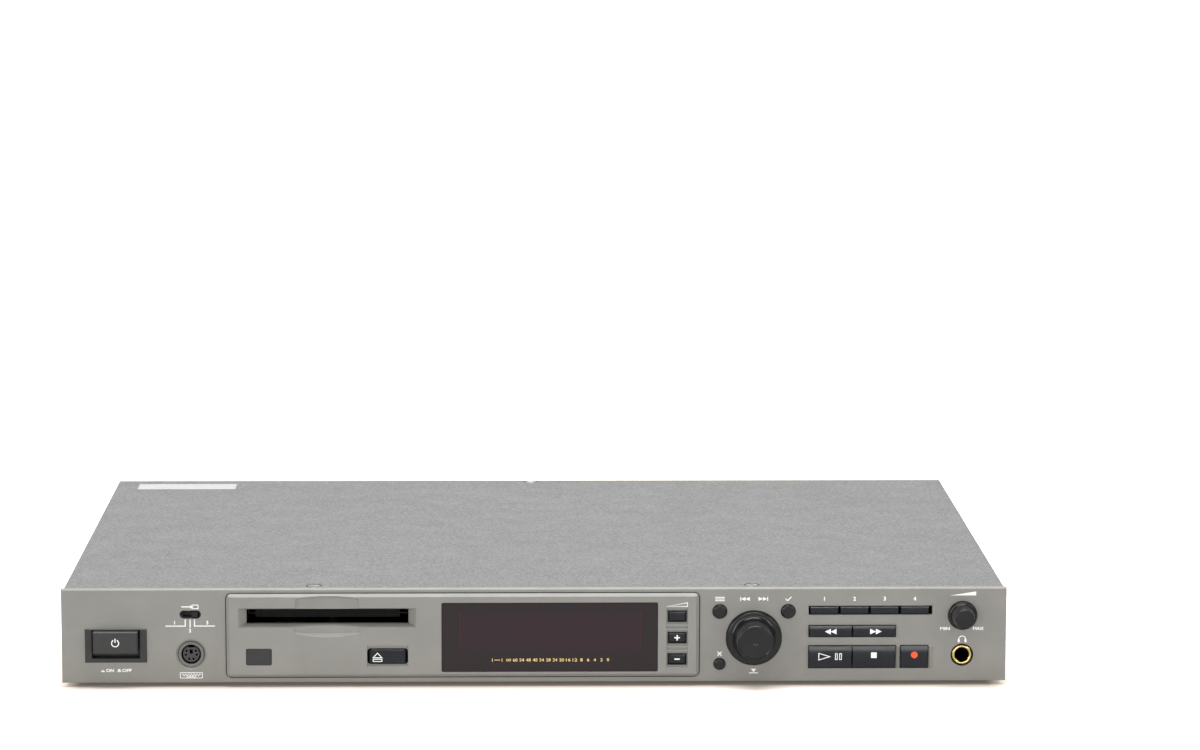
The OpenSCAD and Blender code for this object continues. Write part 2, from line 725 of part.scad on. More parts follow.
module feet() color([0.15, 0.15, 0.15]) place()
    for (x = [left + 26, right - 26], y = [30, body_d - 28]) translate([x, y, -foot_h]) rotate_extrude()
        polygon([[0, 0], [foot_r - 0.8, 0], [foot_r, 0.8], [foot_r, foot_h], [0, foot_h]]);

module power_bezel() color([0.27, 0.27, 0.27]) place() difference() {
    half = tub_w / 2 + bezel_wall;
    union() {
        bevelled(power_x - bezel_w / 2, power_x + bezel_w / 2, -bezel_rim, 0, bezel_z0, bezel_z1, 0.3);
        box(power_x - half, power_x + half, -eps, tub_depth + bezel_wall, tub_z0 - bezel_wall, bezel_z1 - 0.4);
    }
    box(power_x - tub_w / 2, power_x + tub_w / 2, -bezel_rim - 1, tub_depth, tub_z0,
        power_z + power_h / 2 + bezel_top_gap);
    box(power_x - 4.3, power_x + 4.3, -1, tub_depth + bezel_wall + 1, power_z - 3.3, power_z + 3.3);
}

module power_button() color([0.29, 0.29, 0.29]) place() {
    bevelled(power_x - power_w / 2, power_x + power_w / 2, -power_proud, tub_depth - power_travel - 0.1,
        power_z - power_h / 2, power_z + power_h / 2, 0.5);
    box(power_x - 4, power_x + 4, tub_depth - power_travel - 0.11, power_switch_y - power_travel - 0.1,
        power_z - 3, power_z + 3);
}

// Mains switch on its own bracket behind the button
module power_switch() color([0.2, 0.2, 0.22]) place() {
    box(power_x - 8, power_x + 8, power_switch_y, power_switch_y + 18, power_z - 8, power_z + 8);
    box(power_x - 11, power_x + 11, power_switch_y + 17.99, power_switch_y + 19.5, pan_t, power_z + 8);
    box(power_x - 11, power_x + 11, power_switch_y + 18, power_switch_y + 30, pan_t, pan_t + 1.5);
}

module input_switch_knob() color([0.2, 0.2, 0.21]) place() {
    x = input_x + switch_pitch;
    half_h = input_slot_h / 2 - 0.4;
    bevelled(x - switch_cap_w / 2, x + switch_cap_w / 2, 0.4, switch_body_y + eps, input_z - half_h,
        input_z + half_h, 0.2);
    box(x - switch_cap_w / 2, x + switch_cap_w / 2, switch_body_y, switch_body_y + 1.1, input_z - half_h,
        input_z + half_h);
    box(x - 2.5, x + 2.5, switch_body_y + 1.1 - eps, switch_body_y + 2.6, input_z - 2, input_z + 2);
}

// Left board: slide switch body with its channel, and the remote receiver
module left_board() color([0.2, 0.42, 0.28]) place() {
    difference() {
        union() {
            box(left + 43, left + 76, board_y, board_y + board_t, board_edge, top - board_edge);
            box(left + 75.9, remote_x + 9, board_y, board_y + board_t, board_edge, 20);
            box(input_x - 7.5, input_x + 7.5, switch_body_y, board_y + eps, input_z - 3.6, input_z + 3.6);
            box(remote_x - 4, remote_x + 4, panel_t + flange_t + 0.3, board_y + eps, remote_z - 4, remote_z + 4);
        }
        reach = switch_pitch + 2.5 + 0.1;
        box(input_x - reach, input_x + reach, switch_body_y + 1, switch_body_y + 2.8, input_z - 2.1, input_z + 2.1);
        box(input_x - switch_pitch - switch_cap_w / 2 - 0.1, input_x + switch_pitch + switch_cap_w / 2 + 0.1,
            switch_body_y - 1, switch_body_y + 1.5, input_z - 1.6, input_z + 1.6);
        rod_along_y(socket_x, socket_z, socket_r + slip, 2, board_y + 5);
    }
}

module keyboard_socket_shell() color([0.75, 0.72, 0.66]) place() difference() {
    rod_along_y(socket_x, socket_z, socket_r, socket_front, socket_l);
    rod_along_y(socket_x, socket_z, socket_in_r, -1, socket_l + 1);
}

// Contact carrier: six pin holes, the oblong key hole and the notch at the top
module keyboard_socket_insert() color([0.3, 0.3, 0.3]) place() difference() {
    union() {
        rod_along_y(socket_x, socket_z, socket_in_r - 0.7, socket_front + 0.8, socket_l);
        rod_along_y(socket_x, socket_z, socket_in_r, socket_l - 4, socket_l);
    }
    for (a = [57, 100, 157], s = [-1, 1]) rod_along_y(socket_x + s * socket_pin_ring * sin(a),
        socket_z + socket_pin_ring * cos(a), 0.5, -1, 8);
    box(socket_x - 0.7, socket_x + 0.7, -1, 8, socket_z + 0.1, socket_z + 2);
    box(socket_x - 1.5, socket_x + 1.5, -1, socket_l - 5, socket_z + 3, socket_z + 5);
}

// Dust flap hung from a roll with a pin at each end; its plate is set back a little at both sides
module slot_flap() color([0.13, 0.13, 0.14]) place() {
    z0 = slot_z - slot_h / 2 + flap_bottom_gap;
    pin_end = flap_x + 0.2 + ear_t;
    rod_along_x(flap_axis_y, flap_axis_z, flap_roll_r, slot_x - flap_x, slot_x + flap_x);
    rod_along_x(flap_axis_y, flap_axis_z, flap_pin_r, slot_x - pin_end, slot_x + pin_end);
    box(slot_x - flap_plate_x, slot_x + flap_plate_x, flap_axis_y - 0.1, flap_axis_y + 0.5, z0, flap_axis_z);
    box(slot_x - flap_front_x, slot_x + flap_front_x, flap_axis_y - 0.5, flap_axis_y, z0, flap_axis_z);
}

module eject_button() color([0.17, 0.19, 0.22]) place() {
    lip = key_gap + 0.9;
    half = eject_w / 2;
    intersection() {
        bevelled(eject_x - half, eject_x + half, -esc_proud + 0.1, panel_t + eps, eject_z - eject_h / 2,
            eject_z + eject_h / 2, 0.4);
        slab(-esc_proud, panel_t + 1) round_rect(eject_x - half, eject_x + half, eject_z - eject_h / 2,
            eject_z + eject_h / 2, eject_r);
    }
    box(eject_x - half, eject_x + half, panel_t, panel_t + flange_t, eject_z - eject_h / 2 - lip,
        eject_z + eject_h / 2 + lip);
    stem(eject_x, eject_z);
}

module speed_key(row) place() {
    z = speed_z[row];
    bar_key(speed_x - speed_w / 2, speed_x + speed_w / 2, z - speed_h / 2, z + speed_h / 2, esc_proud, 0.5, 0.15);
}

module speed_key_mode() color([0.16, 0.18, 0.2]) speed_key(2);

module speed_key_plus() color([0.16, 0.18, 0.2]) speed_key(1);

module speed_key_minus() color([0.16, 0.18, 0.2]) speed_key(0);

module menu_key() color([0.2, 0.2, 0.22]) place() round_key(round_keys[0]);

module yes_key() color([0.2, 0.2, 0.22]) place() round_key(round_keys[1]);

module clear_key() color([0.2, 0.2, 0.22]) place() round_key(round_keys[2]);

// Dial: skirt in the panel's hole, tapered grip with a dished face, hub round its shaft
module jog_dial() color([0.2, 0.2, 0.2]) place() {
    shell = 1.6;
    turned(dial_x, dial_z, concat([[0, -dial_proud + 0.4], [dial_face_r - 1.2, -dial_proud + 0.25],
        [dial_face_r - 0.9, -dial_proud]], round_edge(dial_face_r, -dial_proud, 0.5),
        hollow_edge(dial_neck_r, -dial_skirt, dial_fillet), round_edge(dial_r, -dial_skirt, 0.6),
        [[dial_r, 1], [dial_r - shell, 1], [dial_r - shell, 0], [dial_neck_r - shell, -1.6],
        [dial_face_r - shell, -dial_proud + 2.2], [dial_shaft_r + 1.5, -dial_proud + 2.2],
        [dial_shaft_r + 1.5, 1], [dial_shaft_r, 1], [dial_shaft_r, board_y - 1], [0, board_y - 1]]));
}

// Slider of the encoder's push switch, behind the end of the dial's shaft
module dial_plunger() color([0.85, 0.85, 0.8]) place()
    rod_along_y(dial_x, dial_z, 1.8, board_y - 1, board_y + board_t + 1);

module dial_encoder() color([0.3, 0.32, 0.34]) place() difference() {
    union() {
        box(dial_x - 6.5, dial_x + 6.5, board_y - 6, board_y, dial_z - 6.5, dial_z + 6.5);
        rod_along_y(dial_x, dial_z, dial_shaft_r + 1.3, board_y - 9, board_y - 6 + eps);
    }
    rod_along_y(dial_x, dial_z, dial_shaft_r + running, 0, board_y + 1);
}

// Knob: skirt in the panel's hole, tapered grip with a flat face, and its shaft
module level_knob() color([0.2, 0.2, 0.2]) place() turned(level_x, level_z, concat([[0, -level_proud]],
    round_edge(level_face_r, -level_proud, 0.4), hollow_edge(level_neck_r, -level_skirt, level_fillet),
    round_edge(level_r, -level_skirt, 0.4), [[level_r, 1], [level_r - 1.2, 1], [level_r - 1.4, -1],
    [level_shaft_r + 1.4, -1], [level_shaft_r + 1.4, 1], [level_shaft_r, 1], [level_shaft_r, board_y - 1.5],
    [0, board_y - 1.5]]));

module level_pot() color([0.5, 0.5, 0.52]) place() difference() {
    union() {
        box(level_x - 5, level_x + 5, board_y - 5, board_y, level_z - 5.5, level_z + 5.5);
        rod_along_y(level_x, level_z, level_shaft_r + 1.4, board_y - 9, board_y - 5 + eps);
    }
    rod_along_y(level_x, level_z, level_shaft_r + running, 0, board_y - 1);
}

module function_key(i) color([0.17, 0.19, 0.21]) place() {
    x0 = keys_x0 + i * function_pitch + (function_pitch - function_w) / 2;
    bar_key(x0, x0 + function_w, function_z - function_h / 2, function_z + function_h / 2, 0.3, 0.3, 0.1);
}

module function_key_1() function_key(0);

module function_key_2() function_key(1);

module function_key_3() function_key(2);

module function_key_4() function_key(3);

module wide_key(i, z, h) color([0.15, 0.17, 0.2]) place() {
    x0 = keys_x0 + i * wide_pitch;
    bar_key(x0, x0 + wide_key_w, z - h / 2, z + h / 2, transport_proud, 0.3, key_crown * h / transport_h);
}

module rewind_key() wide_key(0, search_z, search_h);

module forward_key() wide_key(1, search_z, search_h);

module play_key() wide_key(0, transport_z, transport_h);

module stop_key() wide_key(1, transport_z, transport_h);

module record_key() color([0.15, 0.17, 0.2]) place() bar_key(record_x0, record_x0 + record_w,
    transport_z - transport_h / 2, transport_z + transport_h / 2, transport_proud, 0.3, key_crown);

module phones_jack_body() color([0.12, 0.12, 0.12]) place() difference() {
    box(phones_x - jack_half, phones_x + jack_half, panel_t + 0.2, jack_l + 4, phones_z - jack_half,
        phones_z + jack_half);
    rod_along_y(phones_x, phones_z, phones_r, 0, jack_l + 1);
}

// Plated bush: collar in the panel's hole, with a half-round lip about the plug's way in
module phones_jack_ring() color([0.85, 0.68, 0.3]) place() {
    lip = (phones_ring_r - phones_r) / 2;
    turned(phones_x, phones_z, concat([for (a = [0:22.5:180]) [phones_r + lip - lip * cos(a), 0.9 - lip * sin(a)]],
        [[phones_ring_r, panel_t + 0.2], [phones_r, panel_t + 0.2]]));
}

// Upright board with a switch block behind each key
module control_board() color([0.2, 0.42, 0.28]) place() difference() {
    union() {
        box(window_x0 - 2, phones_board_x - 0.3, board_y, board_y + board_t, board_edge, top - board_edge);
        box(eject_x - 12, window_x0 - 1.9, board_y, board_y + board_t, board_edge, 20);
        for (p = switch_places()) box(p[0] - 3, p[0] + 3, board_y - switch_depth, board_y + eps,
            p[1] - 3 * p[2], p[1] + 3 * p[2]);
    }
    rod_along_y(dial_x, dial_z, 2, board_y - 1, board_y + 3);
}

// Small board over the headphone jack that carries the level control
module phones_board() color([0.2, 0.42, 0.28]) place() box(phones_board_x, right - board_edge, board_y,
    board_y + board_t, phones_z + jack_half, top - board_edge);

// [x, z, height factor] of each switch block; the slim blocks clear their neighbours
function switch_places() = concat(
    [[eject_x, eject_z, 1]],
    [for (z = speed_z) [speed_x, z, 1]],
    [for (k = round_keys) [k[0], k[1], 1]],
    [for (i = [0:3]) [keys_x0 + (i + 0.5) * function_pitch, function_z, 1]],
    [for (i = [0, 1]) [keys_x0 + i * wide_pitch + wide_key_w / 2, search_z, 0.8]],
    [for (i = [0, 1]) [keys_x0 + i * wide_pitch + wide_key_w / 2, transport_z, 1]],
    [[record_x0 + record_w / 2, transport_z, 1]]);

module fluorescent_display() color([0.25, 0.3, 0.32]) place() {
    inset = 5;
    box(window_x0 + inset, window_x1 - inset, board_y - 6.6, board_y, window_z0 + 3, window_z1 - 3);
    rod_along_y(window_x1 - inset - 3, window_z0 + 6, 1.4, board_y - 7.4, board_y - 6.5);
}

// Main board with its chips, capacitors and screening can
module main_board() color([0.2, 0.42, 0.28]) place() {
    z = board_z + board_t;
    box(board_x0, board_x1, board_y0, board_y1, board_z, z);
    for (c = chips * chip_grid) box(board_x0 + c[0], board_x0 + c[0] + c[2], board_y0 + c[1],
        board_y0 + c[1] + c[3], z - eps, z + chip_t);
    for (i = [0:5]) rod_along_z(board_x0 + can_d + 5 + capacitor_pitch * i, board_y1 - 70, capacitor_r, z - eps,
        z + capacitor_h);
    for (i = [0:3]) rod_along_z(board_x0 + can_d + 10 + capacitor_pitch * i, board_y0 + can_w, small_capacitor_r,
        z - eps, z + small_capacitor_h);
    box(board_x0 + 12, board_x0 + 12 + can_w, board_y1 - 70 - can_d, board_y1 - 70, z - eps, z + can_h);
}

// Supply board: two reservoir capacitors and a finned heat sink
module power_board() color([0.62, 0.5, 0.3]) place() {
    z = board_z + board_t;
    sink_x1 = supply_x1 - 1 - fin_l;
    pitch = (supply_y1 - supply_y0 - 4 * sink_t - fin_t) / (fin_count - 1);
    box(supply_x0, supply_x1, supply_y0, supply_y1, board_z, z);
    for (i = [0:1]) rod_along_z(supply_x0 + reservoir_r + 4, supply_y0 + reservoir_r + 6 + (2 * reservoir_r + 6) * i,
        reservoir_r, z - eps, z + reservoir_h);
    box(sink_x1 - sink_t, sink_x1, supply_y0 + 2 * sink_t, supply_y1 - 2 * sink_t, z - eps, z + sink_h);
    for (i = [0:fin_count - 1]) box(sink_x1 - eps, sink_x1 + fin_l, supply_y0 + 2 * sink_t + pitch * i,
        supply_y0 + 2 * sink_t + pitch * i + fin_t, z + 3, z + sink_h);
}

// Mains transformer: laminated core standing on its foot, with a winding through each window
module power_transformer() color([0.45, 0.4, 0.35]) place() {
    x0 = supply_x0 + 1;
    x1 = supply_x1 - 1;
    window = (x1 - x0 - 3 * limb) / 2;
    foot_z1 = pan_t + 1.5;
    difference() {
        box(x0, x1, core_y0, core_y0 + core_t, foot_z1, core_z1);
        for (i = [0, 1]) box(x0 + limb + (window + limb) * i, x0 + (window + limb) * (i + 1), core_y0 - 1,
            core_y0 + core_t + 1, foot_z1 + limb, core_z1 - limb);
    }
    for (i = [0, 1]) box(x0 + limb + (window + limb) * i + 0.3, x0 + (window + limb) * (i + 1) - 0.3,
        core_y0 - winding_out, core_y0 + core_t + winding_out, foot_z1 + limb + 0.3, core_z1 - limb - 0.3);
    box(x0 - 0.5, x1 + 0.5, core_y0 - 6, core_y0 + core_t + 6, pan_t, foot_z1 + eps);
}

// Involute gear outline: polar points of one tooth, repeated round the pitch circle
function polar(r, a) = [r * cos(a), r * sin(a)];
function roll_of(r, base) = r <= base ? 0 : sqrt(pow(r / base, 2) - 1);
function spread(roll) = roll * 180 / PI - atan(roll);
function tooth(teeth, m, turn) = let (
        pitch = teeth * m / 2,
        base = pitch * cos(20),
        tip = pitch + addendum * m,
        root = pitch - dedendum * m,
        half = 90 / teeth - tooth_slack / pitch * 90 / PI + spread(tan(20)),
        rs = [for (i = [0:4]) max(base, root) + (tip - max(base, root)) * i / 4])
    concat([polar(root, turn - half)],
        [for (r = rs) polar(r, turn - half + spread(roll_of(r, base)))],
        [for (i = [4:-1:0]) polar(rs[i], turn + half - spread(roll_of(rs[i], base)))],
        [polar(root, turn + half)]);

module gear(teeth, m) polygon([for (i = [0:teeth - 1], p = tooth(teeth, m, 360 / teeth * i)) p]);

// Folded deck plate of the mechanism with its walls, guide rods and bearing brackets
module mech_chassis() color([0.6, 0.6, 0.58]) place() {
    difference() {
        union() {
            box(mech_x0, mech_x1, mech_y0, mech_y1, plate_z0, plate_z1);
            for (s = [-1, 1]) guide_wall(s);
            for (p = legs) rod_along_z(p[0], p[1], leg_r, leg_z0, plate_z0 + eps);
            rod_along_z(gear_x, gear_y, gear_post_r, plate_z1 - eps, gear_z0 + gear_t + 0.6);
        }
        rod_along_z(spindle_x, spindle_y, 4, plate_z0 - 1, plate_z1 + 1);
        box(spindle_x + lens_inner - 6, arm_post_x + arm_post_w + sled_stroke + 1.5, spindle_y - window_half,
            spindle_y + window_half, plate_z0 - 1, plate_z1 + 1);
        rod_along_z(gear_x, pinion_y, motor_shaft_r + 0.5, plate_z0 - 1, plate_z1 + 1);
        box(spindle_x - 30, spindle_x - 12, spindle_y - 19, spindle_y + 19, plate_z0 - 1, plate_z1 + 1);
    }
    for (x = [rods_x0, rods_x1 - bracket_t], s = [-1, 1]) box(x, x + bracket_t,
        spindle_y + s * rod_y - bracket_half, spindle_y + s * rod_y + bracket_half, rod_z - bracket_half,
        plate_z0 + eps);
    for (s = [-1, 1]) rod_along_x(spindle_y + s * rod_y, rod_z, rod_r, rods_x0 + 0.5, rods_x1 - 0.5);
    for (x = [rods_x0, rods_x1 - bracket_t]) difference() {
        box(x, x + bracket_t, screw_y - bracket_half, screw_y + bracket_half, rod_z - bracket_half, plate_z0 + eps);
        rod_along_x(screw_y, rod_z, journal_r + running, x - 1, x + bracket_t + 1);
    }
}

// Wall beside the holder, with upright slots for the holder's pins and, on the head's side, room for its arm
module guide_wall(side) {
    x0 = side > 0 ? spindle_x + guide_x : spindle_x - guide_x - guide_t;
    difference() {
        box(x0, x0 + guide_t, holder_y0 + 2, holder_y0 + holder_d - 2, plate_z1 - eps, holder_z1 + 1);
        for (y = pin_ys) {
            box(x0 - 1, x0 + guide_t + 1, y - pin_r - 0.1, y + pin_r + 0.1, pin_z - holder_drop, pin_z);
            for (z = [pin_z - holder_drop, pin_z]) rod_along_x(y, z, pin_r + 0.1, x0 - 1, x0 + guide_t + 1);
        }
        if (side > 0) box(x0 - 1, x0 + guide_t + 1, spindle_y - window_half, spindle_y + window_half,
            holder_z0 - holder_drop, holder_z1 + 2);
    }
}

module mech_mounts() color([0.12, 0.12, 0.12]) place() for (p = legs) translate([p[0], p[1], pan_t])
    rotate_extrude() polygon([[0, 0], [mount_r, 0], [mount_r, 2.4], [mount_r - 1.2, 3.2], [mount_r - 1.2, 4.8],
        [mount_r, 5.6], [mount_r, leg_z0 - pan_t], [0, leg_z0 - pan_t]]);

// Folded holder: top plate with the head's window, side walls, and shelves under the cartridge
module cartridge_holder() color([0.68, 0.68, 0.66]) place() {
    shelf = 4;
    y1 = holder_y0 + holder_d;
    difference() {
        union() {
            box(spindle_x - holder_x, spindle_x + holder_x, holder_y0, y1, holder_z1 - wall_t, holder_z1);
            for (s = [-1, 1]) {
                x0 = s > 0 ? spindle_x + holder_in_x : spindle_x - holder_x;
                box(x0, x0 + wall_t, holder_y0, y1, holder_z0, holder_z1);
                sx = s > 0 ? spindle_x + holder_in_x - shelf : spindle_x - holder_x;
                box(sx, sx + shelf + wall_t, holder_y0, y1, holder_z0, holder_z0 + wall_t);
            }
            for (y = pin_ys) {
                rod_along_x(y, pin_z, pin_r, spindle_x + holder_x - eps, spindle_x + guide_x + guide_t + 0.2);
                rod_along_x(y, pin_z, pin_r, spindle_x - slider_x - slider_t - 0.4, spindle_x - holder_x + eps);
            }
        }
        box(spindle_x + 6, spindle_x + holder_x + 1, spindle_y - window_half, spindle_y + window_half,
            holder_z0 - 1, holder_z1 + 1);
        box(spindle_x - 22, spindle_x - 2, spindle_y - 18, spindle_y + 18, holder_z1 - 2, holder_z1 + 1);
    }
}

// Slider: upright web with a sloping cam slot for each pin, and a toothed flange along its foot
module loading_slider() color([0.9, 0.9, 0.86]) place() {
    x0 = spindle_x - slider_x - slider_t;
    y0 = holder_y0 + 4 - slider_stroke / 4;
    y1 = gear_y + 5;
    foot = gear_z0 + gear_t;
    difference() {
        box(x0, x0 + slider_t, y0, y1, gear_z0, pin_z + slider_over);
        for (y = pin_ys) cam_slot(x0, y);
    }
    rise_z(gear_z0, foot) rack(spindle_x - rack_x, x0 + eps);
}

module cam_slot(x0, y) {
    slope = atan2(holder_drop, slider_stroke);
    length = sqrt(pow(holder_drop, 2) + pow(slider_stroke, 2));
    translate([x0 - 1, y, pin_z]) rotate([slope, 0, 0]) {
        translate([0, -length, -pin_r - 0.1]) cube([slider_t + 2, length, 2 * (pin_r + 0.1)]);
        for (end = [0, -length]) translate([0, end, 0]) rotate([0, 90, 0]) cylinder(r = pin_r + 0.1,
            h = slider_t + 2);
    }
}

// Straight rack whose teeth point away from the holder, to the gear
module rack(pitch_x, web_x) {
    step = PI * gear_m;
    half = step / 4 - tooth_slack / 2;
    tip = half - addendum * gear_m * tan(20);
    root = half + dedendum * gear_m * tan(20);
    root_x = pitch_x + dedendum * gear_m;
    y0 = gear_y - slider_stroke - 2 * step;
    rect(root_x, web_x, y0, gear_y + 4);
    for (i = [-floor(slider_stroke / step) - 2:0]) {
        y = gear_y + (i + 0.5) * step;
        polygon([[root_x + eps, y - root], [pitch_x - addendum * gear_m, y - tip],
            [pitch_x - addendum * gear_m, y + tip], [root_x + eps, y + root]]);
    }
}

module loading_gear() color([0.92, 0.9, 0.84]) place() translate([gear_x, gear_y, 0])
    rise_z(gear_z0, gear_z0 + gear_t) difference() {
        gear(gear_teeth, gear_m);
        circle(gear_post_r + running);
    }

module motor_pinion() color([0.85, 0.75, 0.45]) place() {
    translate([gear_x, pinion_y, 0]) rise_z(gear_z0, gear_z0 + gear_t) gear(pinion_teeth, gear_m);
    rod_along_z(gear_x, pinion_y, motor_shaft_r, plate_z0 - 3, gear_z0 + 0.1);
}

// Loading motor, spindle motor and sled motor, each fixed to the deck plate
module mech_motors() color([0.7, 0.7, 0.72]) place() {
    difference() {
        rod_along_z(gear_x, pinion_y, 5.5, plate_z0 - 13, plate_z0);
        rod_along_z(gear_x, pinion_y, motor_shaft_r + running, plate_z0 - 4, plate_z0 + 1);
    }
    difference() {
        rod_along_z(spindle_x, spindle_y, motor_r, plate_z0 - 5, plate_z0);
        rod_along_z(spindle_x, spindle_y, motor_shaft_r + running, plate_z0 - 4.5, plate_z0 + 1);
    }
    difference() {
        rod_along_x(screw_y, rod_z, 4.5, rods_x0 - 12, rods_x0);
        rod_along_x(screw_y, rod_z, journal_r + running, rods_x0 - 3, rods_x0 + 1);
    }
}

module turntable() color([0.8, 0.8, 0.82]) place() translate([spindle_x, spindle_y, 0]) rotate_extrude()
    polygon([[0, plate_z0 - 4.4], [motor_shaft_r, plate_z0 - 4.4], [motor_shaft_r, plate_z1 + 0.4],
        [3.4, plate_z1 + 0.4], [3.4, plate_z1 + 1.8], [7, plate_z1 + 2.6], [7, plate_z1 + 3.8],
        [2.2, plate_z1 + 3.8], [1.6, plate_z1 + 4.9], [0, plate_z1 + 4.9]]);

// Sled on the two guide rods: lens tower through the deck plate, nut on the screw, and the head's post
module optical_pickup() color([0.25, 0.25, 0.27]) place() {
    lens_x = spindle_x + lens_inner;
    shelf_z0 = sled_z1 - 2.2;
    difference() {
        union() {
            box(sled_x0, sled_x0 + sled_w, spindle_y - sled_half, spindle_y + sled_half, sled_z0, sled_z1);
            box(sled_x0 + 6, sled_x0 + sled_w - 6, screw_y - 3, spindle_y - sled_half + 0.1, sled_z0, sled_z1);
        }
        for (s = [-1, 1]) rod_along_x(spindle_y + s * rod_y, rod_z, rod_r + running, sled_x0 - 1,
            sled_x0 + sled_w + 1);
        rod_along_x(screw_y, rod_z, screw_r + 0.08, sled_x0 - 1, sled_x0 + sled_w + 1);
    }
    rod_along_z(lens_x, spindle_y, lens_r + 0.6, sled_z1 - eps, plate_z1 + 2);
    rod_along_z(lens_x, spindle_y, lens_r - 0.4, plate_z1 + 1.9, plate_z1 + 2.5);
    box(sled_x0 + sled_w - eps, arm_post_x + arm_post_w, spindle_y - arm_half, spindle_y + arm_half, shelf_z0,
        sled_z1);
    box(arm_post_x, arm_post_x + arm_post_w, spindle_y - arm_half, spindle_y + arm_half, shelf_z0, arm_axis_z - 2.4);
    for (s = [-1, 1]) difference() {
        box(arm_post_x - 1.2, arm_post_x + 2.4, spindle_y + s * (arm_half - 0.6) - 0.6,
            spindle_y + s * (arm_half - 0.6) + 0.6, arm_axis_z - 2.5, arm_axis_z + 1.6);
        rod_along_y(arm_post_x + 0.6, arm_axis_z, arm_pin_r + running, spindle_y - 10, spindle_y + 10);
    }
}

// Screw shaft with thin journals in the two brackets
module lead_screw() color([0.78, 0.78, 0.8]) place() {
    rod_along_x(screw_y, rod_z, screw_r, rods_x0 + bracket_t + 0.1, rods_x1 - bracket_t - 0.1);
    rod_along_x(screw_y, rod_z, journal_r, rods_x0 - 2.5, rods_x1);
}

// Arm of the recording head, from its pin over the holder's window to the head above the lens
module head_arm() color([0.75, 0.75, 0.72]) place() {
    pivot_x = arm_post_x + 0.6;
    head_x = spindle_x + lens_inner;
    half = arm_half - 1.5;
    rod_along_y(pivot_x, arm_axis_z, 1.4, spindle_y - half, spindle_y + half);
    rod_along_y(pivot_x, arm_axis_z, arm_pin_r, spindle_y - arm_half, spindle_y + arm_half);
    box(head_x - 3, pivot_x, spindle_y - half + 0.5, spindle_y + half - 0.5, arm_axis_z - 0.4, arm_axis_z + 0.4);
    box(head_x - 2.5, head_x + 2.5, spindle_y - 2, spindle_y + 2, arm_axis_z - 3, arm_axis_z - 0.3);
}

// Mains inlet: flanged body, open recess with cut corners, three blades
module ac_inlet() color([0.12, 0.12, 0.12]) place() {
    difference() {
        union() {
            box(inlet_x - inlet_w / 2, inlet_x + inlet_w / 2, back - 16, body_d + eps, rear_z - inlet_h / 2,
                rear_z + inlet_h / 2);
            box(inlet_x - 20, inlet_x + 20, body_d, body_d + 2.5, rear_z - inlet_h / 2 - 2, rear_z + inlet_h / 2 + 2);
        }
        slab(back - 14, body_d + 4) polygon([[inlet_x - 12, rear_z - 8.1], [inlet_x + 12, rear_z - 8.1],
            [inlet_x + 12, rear_z + 3.8], [inlet_x + 8, rear_z + 8.1], [inlet_x - 8, rear_z + 8.1],
            [inlet_x - 12, rear_z + 3.8]]);
    }
    for (p = [[-7, -2], [7, -2], [0, 2]]) box(inlet_x + p[0] - 1, inlet_x + p[0] + 1, back - 14.01, body_d - 2,
        rear_z + p[1] - 2, rear_z + p[1] + 2);
}

// Two female and two male three-pole sockets on square flanges
module xlr_sockets() color([0.2, 0.2, 0.22]) place() for (i = [0:3]) {
    x = xlr_x[i];
    difference() {
        union() {
            rod_along_y(x, rear_z, xlr_r, back - xlr_l, body_d + eps);
            slab(body_d, body_d + 2) round_rect(x - xlr_flange_w / 2, x + xlr_flange_w / 2,
                rear_z - xlr_flange_h / 2, rear_z + xlr_flange_h / 2, 3);
        }
        for (s = [-1, 1]) rod_along_y(x + s * (xlr_flange_w / 2 - 3.5), rear_z - s * (xlr_flange_h / 2 - 3.5), 1.6,
            body_d - 1, body_d + 3);
        if (i < 2) {
            difference() {
                rod_along_y(x, rear_z, xlr_bore_r, back - xlr_well, body_d + 3);
                rod_along_y(x, rear_z, xlr_core_r, back - xlr_well - 1, body_d + 3);
            }
            xlr_poles(x) rod_along_y(0, 0, xlr_socket_r, back - xlr_well + 1, body_d + 3);
        } else {
            rod_along_y(x, rear_z, xlr_bore_r, back - xlr_well, body_d + 3);
        }
    }
    if (i > 1) xlr_poles(x) rod_along_y(0, 0, xlr_pin_r, back - xlr_well - eps, body_d - 1);
}

module xlr_poles(x) for (a = [-90, 0, 90]) translate([x + xlr_pole_ring * sin(a), 0, rear_z - xlr_pole_ring * cos(a)])
    children();

// Block of four phono jacks, whose plated collars pass through the rear panel
module phono_jacks() color([0.8, 0.78, 0.7]) place() difference() {
    union() {
        box(phono_xs[0] - 6.5, phono_xs[1] + 6.5, back - phono_block_d, back, phono_z[0] - 6, phono_z[1] + 6);
        for (x = phono_xs, z = phono_z) {
            rod_along_y(x, z, phono_r + phono_collar, back - eps, body_d + phono_collar_l);
            rod_along_y(x, z, phono_r, back, body_d + phono_l);
        }
    }
    for (x = phono_xs, z = phono_z) {
        rod_along_y(x, z, 1.6, back - 4, body_d + phono_l + 1);
        difference() {
            rod_along_y(x, z, 3.5, body_d + phono_l - 0.8, body_d + phono_l + 1);
            rod_along_y(x, z, 2.6, body_d + phono_l - 1, body_d + phono_l + 1);
        }
    }
}

// Wired remote socket: flange, slanted-sided shell and two jack posts
module remote_socket() color([0.72, 0.72, 0.72]) place() {
    difference() {
        union() {
            slab(body_d, body_d + 1) round_rect(remote_socket_x - 15.4, remote_socket_x + 15.4, rear_z - 6.2,
                rear_z + 6.2, 1.5);
            slab(body_d - 8, body_d + 5) d_outline(8.3, 4.1);
        }
        slab(body_d - 0.5, body_d + 6) d_outline(7.6, 3.5);
    }
    for (s = [-1, 1]) rod_along_y(remote_socket_x + s * 12.5, rear_z, 2.4, body_d + 1 - eps, body_d + 5);
}

